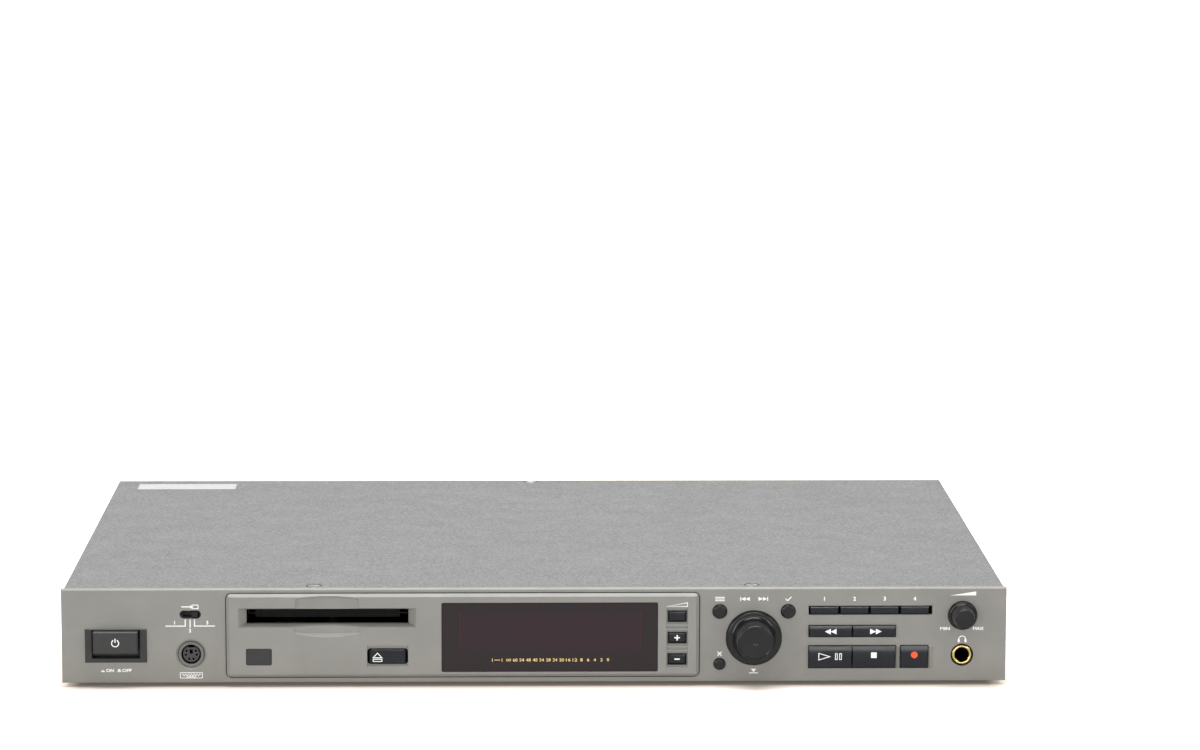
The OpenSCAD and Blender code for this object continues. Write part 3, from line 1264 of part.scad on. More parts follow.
module d_outline(w, h) polygon([[remote_socket_x - w + 0.9, rear_z - h], [remote_socket_x + w - 0.9, rear_z - h],
    [remote_socket_x + w, rear_z + h], [remote_socket_x - w, rear_z + h]]);

front_panel();
centre_escutcheon();
display_window();
remote_window();
top_cover();
chassis_pan();
rear_panel();
feet();
cover_screws();
power_bezel();
power_button();
power_switch();
input_switch_knob();
keyboard_socket_shell();
keyboard_socket_insert();
left_board();
slot_flap();
eject_button();
speed_key_mode();
speed_key_plus();
speed_key_minus();
menu_key();
yes_key();
clear_key();
jog_dial();
dial_plunger();
dial_encoder();
level_knob();
level_pot();
function_key_1();
function_key_2();
function_key_3();
function_key_4();
rewind_key();
forward_key();
play_key();
stop_key();
record_key();
phones_jack_body();
phones_jack_ring();
ac_inlet();
xlr_sockets();
phono_jacks();
remote_socket();
control_board();
phones_board();
fluorescent_display();
main_board();
power_board();
power_transformer();
mech_chassis();
mech_mounts();
cartridge_holder();
loading_slider();
loading_gear();
motor_pinion();
mech_motors();
turntable();
optical_pickup();
lead_screw();
head_arm();
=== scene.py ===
import math

import bpy
from mathutils import Matrix, Vector


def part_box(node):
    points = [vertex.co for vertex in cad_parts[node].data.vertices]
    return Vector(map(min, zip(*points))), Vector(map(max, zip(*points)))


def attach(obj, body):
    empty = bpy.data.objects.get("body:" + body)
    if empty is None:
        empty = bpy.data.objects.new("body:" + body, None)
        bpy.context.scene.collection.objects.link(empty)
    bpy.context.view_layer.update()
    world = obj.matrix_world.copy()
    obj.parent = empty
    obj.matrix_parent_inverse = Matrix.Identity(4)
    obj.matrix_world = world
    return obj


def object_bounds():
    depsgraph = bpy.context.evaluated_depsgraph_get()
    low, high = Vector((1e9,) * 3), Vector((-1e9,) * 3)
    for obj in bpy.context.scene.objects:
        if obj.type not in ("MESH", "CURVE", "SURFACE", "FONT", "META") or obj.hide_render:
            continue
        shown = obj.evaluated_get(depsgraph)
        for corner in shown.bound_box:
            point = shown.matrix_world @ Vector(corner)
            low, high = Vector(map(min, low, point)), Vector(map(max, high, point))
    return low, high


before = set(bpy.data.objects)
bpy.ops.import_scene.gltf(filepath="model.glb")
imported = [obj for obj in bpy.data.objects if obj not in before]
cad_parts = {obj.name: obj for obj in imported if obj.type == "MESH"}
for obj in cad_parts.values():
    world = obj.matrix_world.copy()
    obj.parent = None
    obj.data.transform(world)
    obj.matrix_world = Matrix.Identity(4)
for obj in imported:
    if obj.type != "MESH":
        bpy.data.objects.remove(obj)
cad_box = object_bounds()
MM = 0.001

# ---------------------------------------------------------------- places
# The deck's own millimetres: across from the centre, back from the panel's face and up from the
# panel's bottom edge.
ESCUTCHEON_PROUD = 1.5
WINDOW_RECESS = 0.3
WINDOW_STEP = 1.2  # width of the window's hidden rim
PRINT_LIFT = 0.03

FACE_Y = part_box("centre_escutcheon")[0].y / MM + ESCUTCHEON_PROUD
BOTTOM_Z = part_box("front_panel")[0].z / MM
TOP_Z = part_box("top_cover")[1].z / MM - BOTTOM_Z
BACK_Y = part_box("top_cover")[1].y / MM - FACE_Y


def place(x, y, z):
    """Frame metres of a place given in the deck's own millimetres."""
    return Vector((x, y + FACE_Y, z + BOTTOM_Z)) * MM


def middle(node):
    """Centre of a node across and up the front, in the deck's millimetres."""
    lo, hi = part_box(node)
    return (lo.x + hi.x) / 2 / MM, (lo.z + hi.z) / 2 / MM - BOTTOM_Z


def new_object(name, data):
    """Object of this name and data, linked into the scene."""
    made = bpy.data.objects.new(name, data)
    bpy.context.scene.collection.objects.link(made)
    return made


# ---------------------------------------------------------------- nodes
def feed(tree, socket, value):
    """Link an output into a socket, or set the socket to a plain value."""
    if isinstance(value, bpy.types.NodeSocket):
        tree.links.new(value, socket)
    else:
        socket.default_value = value


def object_coords(tree):
    """Coordinates fixed to the object, in the frame's metres."""
    return tree.nodes.new("ShaderNodeTexCoord").outputs["Object"]


def noise(tree, scale, detail=3, rough=0.55, stretch=None):
    """Noise per metre of the frame; stretch scales each axis, for a drawn or brushed grain."""
    coords = object_coords(tree)
    if stretch:
        mapping = tree.nodes.new("ShaderNodeMapping")
        mapping.inputs["Scale"].default_value = stretch
        tree.links.new(coords, mapping.inputs["Vector"])
        coords = mapping.outputs["Vector"]
    texture = tree.nodes.new("ShaderNodeTexNoise")
    texture.inputs["Scale"].default_value = scale
    texture.inputs["Detail"].default_value = detail
    texture.inputs["Roughness"].default_value = rough
    tree.links.new(coords, texture.inputs["Vector"])
    return texture.outputs["Fac"]


def remap(tree, value, low, high, start=0.3, end=0.7):
    """A value's run from start to end as a run from low to high, clamped at both ends."""
    node = tree.nodes.new("ShaderNodeMapRange")
    feed(tree, node.inputs["Value"], value)
    feed(tree, node.inputs["From Min"], start)
    feed(tree, node.inputs["From Max"], end)
    feed(tree, node.inputs["To Min"], low)
    feed(tree, node.inputs["To Max"], high)
    return node.outputs["Result"]


def times(tree, first, second):
    """Product of two values."""
    node = tree.nodes.new("ShaderNodeMath")
    node.operation = "MULTIPLY"
    feed(tree, node.inputs[0], first)
    feed(tree, node.inputs[1], second)
    return node.outputs[0]


def vector_math(tree, operation, *values):
    """Result of one vector operation: a number for a length or a dot product, else a vector."""
    node = tree.nodes.new("ShaderNodeVectorMath")
    node.operation = operation
    for socket, value in zip(node.inputs, values):
        feed(tree, socket, value)
    return node.outputs["Value" if operation in ("LENGTH", "DOT_PRODUCT") else "Vector"]


def mix_colours(tree, factor, first, second, blend="MIX"):
    """First colour at factor 0 and second at factor 1; each is an output or a plain triple."""
    node = tree.nodes.new("ShaderNodeMix")
    node.data_type = "RGBA"
    node.blend_type = blend
    feed(tree, node.inputs["Factor"], factor)
    for letter, colour in (("A", first), ("B", second)):
        target = [i for i in node.inputs if i.name == letter and i.type == "RGBA"][0]
        feed(tree, target, (*colour, 1) if isinstance(colour, tuple) else colour)
    return [o for o in node.outputs if o.type == "RGBA"][0]


def shade(colour, factor):
    """Colour made darker or paler by a factor, no channel above 1."""
    return tuple(min(1.0, c * factor) for c in colour)


# ---------------------------------------------------------------- camera
CAMERA_PLACE = (-16.1, -1779.0, 417.3)
PICTURE_W = 1200
FOCAL_PX = 3993.9  # focal length in pixels of a picture that is PICTURE_W wide
SENSOR_MM = 36
CLIP_NEAR, CLIP_FAR = 0.05, 60
PITCH_DOWN, YAW, ROLL = 0.1538, 0.02544, 0.00307  # radians


def make_camera():
    """Long lens at the photograph's place, turned by yaw, pitch and a trace of roll."""
    data = bpy.data.cameras.new("camera")
    data.sensor_width = SENSOR_MM
    data.lens = FOCAL_PX * SENSOR_MM / PICTURE_W
    data.clip_start, data.clip_end = CLIP_NEAR, CLIP_FAR
    level = Vector((math.sin(YAW), math.cos(YAW), 0))
    right = Vector((math.cos(YAW), -math.sin(YAW), 0))
    up = Vector((0, 0, math.cos(PITCH_DOWN))) + level * math.sin(PITCH_DOWN)
    ahead = level * math.cos(PITCH_DOWN) - Vector((0, 0, math.sin(PITCH_DOWN)))
    turned_right = right * math.cos(ROLL) + up * math.sin(ROLL)
    turned_up = up * math.cos(ROLL) - right * math.sin(ROLL)
    camera = new_object("camera", data)
    axes = Matrix((turned_right, turned_up, -ahead)).transposed().to_4x4()
    camera.matrix_world = Matrix.Translation(place(*CAMERA_PLACE)) @ axes
    bpy.context.scene.camera = camera


# ---------------------------------------------------------------- stage and light
WORLD_LEVEL = 0.35
WORLD_IN_GLOSS = 0.08
WORLD_IN_CAMERA = 1.0
FLOOR_SIZE = 14
FLOOR_COLOUR = (0.7, 0.685, 0.665)
FLOOR_PAINTED_SHADE = (0.55, 0.49, 0.44)  # painted shade: a darker, browner floor tone close to the deck
FLOOR_IN_GLOSS = 0.55  # dims the floor in reflections, as the dark end of a studio table does
# Painted shade: the brownish camera glow is weak beside the deck, so the floor reads darker and
# browner there.
GLOW_COLOUR = (1, 0.88, 0.76, 1)
GLOW_NEAR, GLOW_FAR = 0.09, 1.0  # strength beside the deck and GLOW_REACH metres away
GLOW_REACH = 0.02
GLOW_INSET = (0.008, 0.0125)  # how far in from the CAD box's sides and ends the glow starts
LAMP_TARGET = (0, 0, 0.02)
LAMPS = {  # place, size and power, in metres and watts
    "overhead": ((0.0, -0.1, 1.6), (1.4, 0.7), 37),
    "front": ((-0.2, -2.4, 0.21), (2.4, 0.4), 12),
    "left": ((-1.9, -1.3, 0.8), (0.45, 1.3), 10.5),
    "right": ((1.9, -1.3, 0.8), (0.45, 1.3), 10),
    "backdrop": ((0.0, 2.5, 0.48), (4.0, 0.5), 7.5),
}


def make_world():
    """White for the camera, soft light for matt surfaces, and a dim room for what reflects."""
    world = bpy.data.worlds.new("world")
    world.use_nodes = True
    tree = world.node_tree
    back = tree.nodes["Background"]
    back.inputs["Color"].default_value = (1, 1, 1, 1)
    rays = tree.nodes.new("ShaderNodeLightPath")
    unseen = remap(tree, rays.outputs["Is Glossy Ray"], WORLD_LEVEL, WORLD_IN_GLOSS, 0.0, 1.0)
    level = remap(tree, rays.outputs["Is Camera Ray"], unseen, WORLD_IN_CAMERA, 0.0, 1.0)
    tree.links.new(level, back.inputs["Strength"])
    bpy.context.scene.world = world


def floor_material():
    """Matt white with painted shade near the deck: a browner tone and a weaker camera glow there.
    """
    material = bpy.data.materials.new("floor")
    material.use_nodes = True
    tree = material.node_tree
    tree.nodes.clear()
    lo, hi = cad_box
    reach = ((hi.x - lo.x) / 2 - GLOW_INSET[0], (hi.y - lo.y) / 2 - GLOW_INSET[1], 1)
    past = vector_math(tree, "SUBTRACT", vector_math(tree, "ABSOLUTE", object_coords(tree)), reach)
    away = vector_math(tree, "LENGTH", vector_math(tree, "MAXIMUM", past, (0, 0, 0)))
    rays = tree.nodes.new("ShaderNodeLightPath")

    # Painted shade: the floor is darker and browner close to the deck, fading out over GLOW_REACH.
    shade_fade = remap(tree, away, 0.0, 1.0, 0.0, GLOW_REACH)
    tone = mix_colours(tree, shade_fade, FLOOR_PAINTED_SHADE, FLOOR_COLOUR)
    in_gloss = shade(FLOOR_COLOUR, FLOOR_IN_GLOSS)
    tone = mix_colours(tree, rays.outputs["Is Glossy Ray"], tone, in_gloss)
    matt = tree.nodes.new("ShaderNodeBsdfDiffuse")
    tree.links.new(tone, matt.inputs["Color"])

    # Painted shade: the camera glow stays weak beside the deck.
    level = remap(tree, away, GLOW_NEAR, GLOW_FAR, 0.0, GLOW_REACH)
    glow = tree.nodes.new("ShaderNodeEmission")
    glow.inputs["Color"].default_value = GLOW_COLOUR
    seen = times(tree, level, rays.outputs["Is Camera Ray"])
    tree.links.new(seen, glow.inputs["Strength"])

    both = tree.nodes.new("ShaderNodeAddShader")
    out = tree.nodes.new("ShaderNodeOutputMaterial")
    tree.links.new(matt.outputs[0], both.inputs[0])
    tree.links.new(glow.outputs[0], both.inputs[1])
    tree.links.new(both.outputs[0], out.inputs["Surface"])
    return material


def make_floor():
    """Pale floor that keeps the deck's shadow, with painted shade close to the deck."""
    mesh = bpy.data.meshes.new("floor")
    half = FLOOR_SIZE / 2
    corners = [(-half, -half, 0), (half, -half, 0), (half, half, 0), (-half, half, 0)]
    mesh.from_pydata(corners, [], [(0, 1, 2, 3)])
    mesh.materials.append(floor_material())
    floor = new_object("floor", mesh)


def make_lights():
    """Soft rectangular lamps, all turned to the middle of the deck."""
    for name, (where, size, power) in LAMPS.items():
        data = bpy.data.lights.new(name, "AREA")
        data.shape = "RECTANGLE"
        data.size, data.size_y = size
        data.energy = power
        lamp = new_object(name, data)
        lamp.location = where
        lamp.rotation_mode = "QUATERNION"
        aim = Vector(LAMP_TARGET) - Vector(where)
        lamp.rotation_quaternion = aim.to_track_quat("-Z", "Y")


# ---------------------------------------------------------------- materials
BEVEL_SAMPLES = 4
EDGE_COSINE, FLAT_COSINE = 0.9, 0.985  # from rounded to true normal, on an edge and on a face
EDGE_PAINTED_SHADE = 0.3  # painted shade on an edge: its colour as a share of the face's
# Shine left in that painted edge shade.
EDGE_SPECULAR = 0.05
SPECK_FROM, SPECK_TO = 0.42, 0.58  # noise over which a speck fades out
SPREAD_SCALE = 2.5  # how much finer the change of roughness is than the mottling
LOWEST_ROUGH = 0.03


def new_material(name):
    """Material with its node tree and its main shader."""
    material = bpy.data.materials.new(name)
    material.use_nodes = True
    return material, material.node_tree, material.node_tree.nodes["Principled BSDF"]


def rounded_normal(tree, radius):
    """Normal of the surface with its edges rounded by a radius in mm."""
    bevel = tree.nodes.new("ShaderNodeBevel")
    bevel.samples = BEVEL_SAMPLES
    bevel.inputs["Radius"].default_value = radius * MM
    return bevel.outputs["Normal"]


def flatness(tree, radius):
    """1 on a flat or gently curved face, falling to 0 within a radius in mm of a sharp edge."""
    true_normal = tree.nodes.new("ShaderNodeNewGeometry").outputs["True Normal"]
    agree = vector_math(tree, "DOT_PRODUCT", rounded_normal(tree, radius), true_normal)
    return remap(tree, agree, 0.0, 1.0, EDGE_COSINE, FLAT_COSINE)


def surface(name, colour, rough, metallic=0.0, mottle=0.05, mottle_scale=60, grain=900,
            grain_depth=0.02, speckle=0.0, edge=0.15, stretch=None, specular=0.5,
            rough_spread=0.05, painted_edge_shade=0.0):
    """Moulded, painted or plated surface, with broad mottling, fine grain and softened edges.

    grain_depth, edge and the painted edge shade are in mm: the relief of the grain, the radius of
    the edges, and the width of painted shade along an edge that borders a gap, where the edge goes
    dark and loses its shine.
    """
    material, tree, shader = new_material(name)
    broad = remap(tree, noise(tree, mottle_scale, 4), 0.0, 1.0)
    tone = mix_colours(tree, broad, shade(colour, 1 - mottle), shade(colour, 1 + mottle))
    fine = noise(tree, grain, 2, 0.6, stretch)
    if speckle:
        dull = mix_colours(tree, 1.0, tone, shade((1, 1, 1), 1 - speckle), "MULTIPLY")
        specks = remap(tree, fine, 0.0, 1.0, SPECK_FROM, SPECK_TO)
        tone = mix_colours(tree, specks, dull, tone)
    shader.inputs["Specular IOR Level"].default_value = specular
    # Painted shade: near an edge that borders a gap the colour darkens and the shine drops.
    if painted_edge_shade:
        flat = flatness(tree, painted_edge_shade)
        tone = mix_colours(tree, flat, shade(colour, EDGE_PAINTED_SHADE), tone)
        shine = remap(tree, flat, EDGE_SPECULAR, specular, 0.0, 1.0)
        tree.links.new(shine, shader.inputs["Specular IOR Level"])
    tree.links.new(tone, shader.inputs["Base Color"])
    spread = remap(tree, noise(tree, mottle_scale * SPREAD_SCALE, 3),
                   max(LOWEST_ROUGH, rough - rough_spread), rough + rough_spread)
    tree.links.new(spread, shader.inputs["Roughness"])
    shader.inputs["Metallic"].default_value = metallic
    bump = tree.nodes.new("ShaderNodeBump")
    bump.inputs["Strength"].default_value = 1.0
    bump.inputs["Distance"].default_value = grain_depth * MM
    tree.links.new(fine, bump.inputs["Height"])
    if edge:
        tree.links.new(rounded_normal(tree, edge), bump.inputs["Normal"])
    tree.links.new(bump.outputs["Normal"], shader.inputs["Normal"])
    return material


PANEL_GREY = (0.266, 0.259, 0.239)
ESCUTCHEON_GREY = (0.268, 0.262, 0.242)


def make_materials():
    """Every material of the deck, under the short name that the tables below use."""
    return {
        "panel": surface(
            "panel_plastic", PANEL_GREY, 0.46, grain=2600, grain_depth=0.012, speckle=0.03,
            edge=0.2),
        "escutcheon": surface(
            "escutcheon_plastic", ESCUTCHEON_GREY, 0.44, grain=2600, grain_depth=0.012,
            speckle=0.03, edge=0.25),
        "cover": surface(
            "cover_paint", (0.258, 0.26, 0.258), 0.46, mottle=0.02, mottle_scale=18, grain=1150,
            grain_depth=0.04, speckle=0.4, edge=0.3),
        "key": surface(
            "key_plastic", (0.008, 0.0095, 0.014), 0.16, mottle=0.12, grain=1800,
            grain_depth=0.006, edge=0.12, painted_edge_shade=0.22),
        "grip": surface(
            "grip_plastic", (0.01, 0.01, 0.011), 0.18, mottle=0.1, grain=1600,
            grain_depth=0.008, edge=0.3),
        "power": surface(
            "power_plastic", (0.033, 0.033, 0.033), 0.42, mottle=0.06, grain=1800,
            grain_depth=0.012, edge=0.35),
        "bezel": surface(
            "bezel_plastic", (0.03, 0.03, 0.03), 0.36, mottle=0.06, grain=1800,
            grain_depth=0.012, edge=0.25),
        "black": surface(
            "black_plastic", (0.006, 0.006, 0.0065), 0.5, mottle=0.1, grain=1500,
            grain_depth=0.015),
        "flap": surface(
            "flap_plastic", (0.004, 0.004, 0.0045), 0.5, mottle=0.1, grain=1500,
            grain_depth=0.01, specular=0.14),
        "dark_board": surface(
            "black_lacquer", (0.008, 0.011, 0.009), 0.35, mottle=0.15, mottle_scale=300,
            grain=900, grain_depth=0.02),
        "insert": surface(
            "insert_plastic", (0.05, 0.05, 0.05), 0.5, mottle=0.1, grain=1500,
            grain_depth=0.01, edge=0.08),
        "rubber": surface(
            "foot_rubber", (0.02, 0.02, 0.02), 0.8, mottle=0.15, grain=700, grain_depth=0.05),
        "zinc": surface(
            "zinc_sheet", (0.55, 0.55, 0.53), 0.38, metallic=1.0, mottle=0.12,
            mottle_scale=120, grain=500, grain_depth=0.01, stretch=(1, 12, 1)),
        # Painted shade: steel darkened so the mechanism deep in the slot reads black, as in shade.
        "painted_shade_steel": surface(
            "steel_darkened_as_shade", (0.05, 0.05, 0.052), 0.5, metallic=1.0, mottle=0.1, grain=900,
            grain_depth=0.01, specular=0.2),
        "steel": surface(
            "bright_steel", (0.62, 0.62, 0.62), 0.25, metallic=1.0, mottle=0.06, grain=1500,
            grain_depth=0.005, stretch=(1, 8, 1)),
        "screw": surface(
            "screw_plate", (0.8, 0.79, 0.77), 0.3, metallic=1.0, mottle=0.08, grain=1200,
            grain_depth=0.01, edge=0.15),
        "nickel": surface(
            "socket_nickel", (0.25, 0.24, 0.22), 0.3, metallic=1.0, mottle=0.08, grain=1200,
            grain_depth=0.006, edge=0.2),
        "gilt": surface(
            "gilt_plate", (0.98, 0.72, 0.28), 0.17, metallic=1.0, mottle=0.06, grain=1200,
            grain_depth=0.005, edge=0.2),
        "board": surface(
            "board_lacquer", (0.03, 0.13, 0.06), 0.3, mottle=0.15, mottle_scale=300, grain=900,
            grain_depth=0.02),
        "supply_board": surface(
            "phenolic_board", (0.32, 0.2, 0.08), 0.45, mottle=0.12, mottle_scale=200,
            grain=900, grain_depth=0.02),
        "core": surface(
            "varnished_core", (0.09, 0.07, 0.06), 0.4, mottle=0.2, mottle_scale=200, grain=800,
            grain_depth=0.05, stretch=(1, 20, 1)),
        "nylon": surface(
            "natural_nylon", (0.78, 0.75, 0.66), 0.45, mottle=0.03, grain=1500,
            grain_depth=0.01),
        "brass": surface(
            "pinion_brass", (0.75, 0.58, 0.28), 0.28, metallic=1.0, mottle=0.05, grain=1500,
            grain_depth=0.005),
        "tube": surface(
            "tube_glass", (0.1, 0.12, 0.13), 0.1, mottle=0.1, grain=600, grain_depth=0.005),
        "remote": surface(
            "remote_lens", (0.03, 0.0285, 0.031), 0.4, mottle=0.03, grain=1500,
            grain_depth=0.004, edge=0.1),
        "window": window_material(),
        "print": surface(
            "white_ink", (0.97, 0.97, 0.95), 0.5, mottle=0.02, grain=2500, grain_depth=0.004,
            edge=0),
        "gold_ink": surface(
            "gold_ink", (0.95, 0.68, 0.26), 0.45, mottle=0.05, grain=2500, grain_depth=0.004,
            edge=0),
        "red_ink": surface(
            "red_ink", (0.95, 0.1, 0.02), 0.45, mottle=0.03, grain=2500, grain_depth=0.004,
            edge=0),
        "strip": surface(
            "strip_film", (0.52, 0.52, 0.51), 0.35, mottle=0.03, grain=1500, grain_depth=0.01,
            edge=0.1),
    }


FILTER_INSET = (8.4, 9.9, 7.9, 5.0)  # left, bottom, right and top of the filter in the window
FILTER_BLUR = 0.5  # half the width, in mm, over which the filter's edge fades
CHAMBER_COLOUR = (0.026, 0.019, 0.021)
FILTER_COLOUR = (0.033, 0.0175, 0.024)
FILTER_EDGE_COLOUR = (0.09, 0.018, 0.03)
WINDOW_SPECULAR = 0.35


def window_material():
    """Smoked acrylic over a dark chamber in which a reddish filter just shows."""
    material, tree, shader = new_material("smoked_window")
    lo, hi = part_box("display_window")
    rim = WINDOW_STEP * MM
    left, bottom, right, top = [v * MM for v in FILTER_INSET]
    split = tree.nodes.new("ShaderNodeSeparateXYZ")
    tree.links.new(object_coords(tree), split.inputs[0])
    blur = FILTER_BLUR * MM

    def between(value, low, high):
        """1 between two places along an axis and 0 outside them, with soft ends."""
        return times(tree, remap(tree, value, 0.0, 1.0, low - blur, low + blur),
                     remap(tree, value, 0.0, 1.0, high + blur, high - blur))

    across = between(split.outputs["X"], lo.x + rim + left, hi.x - rim - right)
    upright = between(split.outputs["Z"], lo.z + rim + bottom, hi.z - rim - top)
    cloud = remap(tree, noise(tree, 40, 3, stretch=(1, 1, 3)), 0.75, 1.0)
    patch = times(tree, times(tree, across, upright), cloud)
    edge = times(tree, remap(tree, across, 0.0, 0.45, 0.0, 0.45),
                 remap(tree, across, 1.0, 0.0, 0.55, 1.0))
    breaks = remap(tree, noise(tree, 300, 2), 0.2, 1.0)
    line = times(tree, times(tree, edge, upright), breaks)
    tone = mix_colours(tree, patch, CHAMBER_COLOUR, FILTER_COLOUR)
    tone = mix_colours(tree, line, tone, FILTER_EDGE_COLOUR)
    tree.links.new(tone, shader.inputs["Base Color"])
    rough = remap(tree, noise(tree, 200, 3), 0.05, 0.1)
    tree.links.new(rough, shader.inputs["Roughness"])
    shader.inputs["Specular IOR Level"].default_value = WINDOW_SPECULAR
    return material


NODE_MATERIALS = {
    "panel": ["front_panel"],
    "escutcheon": ["centre_escutcheon"],
    "cover": ["top_cover"],
    "window": ["display_window"],
    "remote": ["remote_window"],
    "power": ["power_button"],
    "bezel": ["power_bezel"],
    "insert": ["keyboard_socket_insert"],
    "grip": ["jog_dial", "level_knob", "menu_key", "yes_key", "clear_key", "input_switch_knob"],
    "flap": ["slot_flap"],
    "black": ["power_switch", "dial_encoder", "phones_jack_body", "ac_inlet", "xlr_sockets",
              "optical_pickup"],
    "rubber": ["feet", "mech_mounts"],
    "zinc": ["chassis_pan", "rear_panel"],
    # Painted shade: chassis and holder darkened for the shade inside the slot.
    "painted_shade_steel": ["mech_chassis", "cartridge_holder"],
    "steel": ["level_pot", "mech_motors", "turntable", "lead_screw", "head_arm"],
    "screw": ["cover_screws"],
    "nickel": ["keyboard_socket_shell", "remote_socket"],
    "gilt": ["phones_jack_ring", "phono_jacks"],
    "dark_board": ["left_board"],
    "board": ["control_board", "phones_board", "main_board"],
    "supply_board": ["power_board"],
    "core": ["power_transformer"],
    "nylon": ["dial_plunger", "loading_slider", "loading_gear"],
    "brass": ["motor_pinion"],
    "tube": ["fluorescent_display"],
}


def dress_nodes(materials):
    """Every CAD node gets its material; what no list names is a dark key."""
    chosen = {node: key for key, nodes in NODE_MATERIALS.items() for node in nodes}
    for name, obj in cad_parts.items():
        obj.data.materials.clear()
        obj.data.materials.append(materials[chosen.get(name, "key")])


# ---------------------------------------------------------------- shapes of printed marks
# All in millimetres about the mark's own place, across and up the front.
BOLD = 0.035
OVERLAP_LIFT = 0.004  # keeps outlines that cross in one mark apart
SHARPEST_LEAN = 0.3  # limits how far a mitre reaches
LETTER_STEPS = 3  # spans of a curve in a letter's outline


def bar(x, z, w, h):
    """Rectangle by its centre and size."""
    left, right, low, high = x - w / 2, x + w / 2, z - h / 2, z + h / 2
    return [(left, low), (right, low), (right, high), (left, high)]


def pointer(x, z, w, h):
    """Solid triangle that points right for a positive width."""
    return [(x - w / 2, z - h / 2), (x + w / 2, z), (x - w / 2, z + h / 2)]


def pointer_down(x, z, w, h):
    """Solid triangle that points down."""
    return [(x - w / 2, z + h / 2), (x, z - h / 2), (x + w / 2, z + h / 2)]


def arc(radius, start, end, steps=24, centre=(0, 0)):
    """Points along an arc from one angle to another, in degrees."""
    angles = [math.radians(start + (end - start) * i / steps) for i in range(steps + 1)]
    return [(centre[0] + radius * math.cos(a), centre[1] + radius * math.sin(a)) for a in angles]


def stroke(points, width, closed=False):
    """Quads along a line of points, mitred where they meet."""
    count = len(points)
    sides = []
    for i, point in enumerate(points):
        here = Vector(point)
        before = Vector(points[i - 1]) if closed or i else None
        after = Vector(points[(i + 1) % count]) if closed or i < count - 1 else None
        first = (here - before).normalized() if before else None
        second = (after - here).normalized() if after else None
        along = (first + second).normalized() if first and second else (first or second)
        across = Vector((-along.y, along.x))
        lean = across.dot(Vector((-(second or first).y, (second or first).x)))
        reach = across * width / 2 / max(SHARPEST_LEAN, lean)
        sides.append((here + reach, here - reach))
    spans = [(i, (i + 1) % count) for i in range(count if closed else count - 1)]
    return [(sides[i][0], sides[j][0], sides[j][1], sides[i][1]) for i, j in spans]


def flat_mesh(name, outlines, at, material, body="case"):
    """Printed mark: outlines about a place on the front, facing the viewer."""
    mesh = bpy.data.meshes.new(name)
    points, faces = [], []
    origin = place(*at)
    for number, outline in enumerate(outlines):
        first = len(points)
        lift = number % 2 * OVERLAP_LIFT
        points += [origin + Vector((x, -lift, z)) * MM for x, z in outline]
        faces.append(tuple(range(first, len(points))))
    mesh.from_pydata(points, [], faces)
    mesh.update()
    if mesh.polygons[0].normal.y > 0:
        mesh.flip_normals()
    mesh.materials.append(material)
    piece = new_object(name, mesh)
    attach(piece, body)


def lettering(name, text, at, height, material, body="case", width=None, bold=BOLD):
    """Generic figures or ON, OFF, MIN, MAX, set to a height and centred on a place."""
    curve = bpy.data.curves.new(name, "FONT")
    curve.body = text
    curve.resolution_u = LETTER_STEPS
    curve.offset = bold
    scratch = new_object(name, curve)
    graph = bpy.context.evaluated_depsgraph_get()
    mesh = bpy.data.meshes.new_from_object(scratch.evaluated_get(graph))
    bpy.data.objects.remove(scratch)
    xs = [v.co.x for v in mesh.vertices]
    ys = [v.co.y for v in mesh.vertices]
    scale_z = height * MM / (max(ys) - min(ys))
    scale_x = width * MM / (max(xs) - min(xs)) if width else scale_z
    mid_x, mid_y = (max(xs) + min(xs)) / 2, (max(ys) + min(ys)) / 2
    origin = place(*at)
    for v in mesh.vertices:
        v.co = origin + Vector(((v.co.x - mid_x) * scale_x, 0, (v.co.y - mid_y) * scale_z))
    mesh.update()
    if mesh.polygons[0].normal.y > 0:
        mesh.flip_normals()
    mesh.materials.clear()
    mesh.materials.append(material)
    piece = new_object(name, mesh)
    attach(piece, body)


# ---------------------------------------------------------------- printed marks
PANEL_PRINT = -PRINT_LIFT
ESCUTCHEON_PRINT = -ESCUTCHEON_PROUD - PRINT_LIFT
WINDOW_PRINT = -ESCUTCHEON_PROUD + WINDOW_RECESS - PRINT_LIFT

BRACKET_LINE = 0.44
SIGN_LINE = 0.46
KEY_LINE = 0.36
PAUSE_LINE = 0.34
WORD_HEIGHT = 1.5
FIGURE_HEIGHT = 1.7
FUNCTION_FIGURE_HEIGHT = 1.9
SCALE_HEIGHT = 1.45
SCALE_FIGURE_WIDTH = 1.06
SCALE_BOLD = 0.012

POWER_WORDS_Z = 5.65
KEYBOARD_SIGN_Z = 3.3
SIGN_ROW_Z = 38.2
CLEAR_SIGN_Z = 12.7
PUSH_SIGN_Z = 4.7
SPEED_SIGN_Z = 35.9
LEVEL_SIGN_Z = 40.5
LEVEL_WORDS_Z = 24.2
HEADPHONE_SIGN_Z = 19.1
INPUT_SIGN_PLACE = (-156.4, 35.1)
SKIP_SIGN_REACH = 3.85  # how far the two skip signs stand from the dial's middle
FUNCTION_KEYS = 4


def print_power(ink):
    """Power sign on the button, and ON and OFF with their in and out marks below."""
    x, z = middle("power_button")
    sign = stroke(arc(1.6, 120, 420, 28), SIGN_LINE)
    sign += stroke([(0, 0.25), (0, 2.15)], SIGN_LINE)
    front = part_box("power_button")[0].y / MM - FACE_Y
    flat_mesh("power_sign", sign, (x, front - PRINT_LIFT, z), ink, "power_button")

    def below(dx):
        return x + dx, PANEL_PRINT, POWER_WORDS_Z

    lettering("on_word", "ON", below(-2.9), WORD_HEIGHT, ink, width=3.5)
    lettering("off_word", "OFF", below(4.8), WORD_HEIGHT, ink, width=4.4)
    base = bar(0, -0.55, 1.9, 0.34)
    flat_mesh("on_mark", [base, bar(0, -0.1, 1.1, 0.35)], below(-6.1), ink)
    flat_mesh("off_mark", [base, bar(0, 0.2, 1.1, 0.85)], below(1.3), ink)


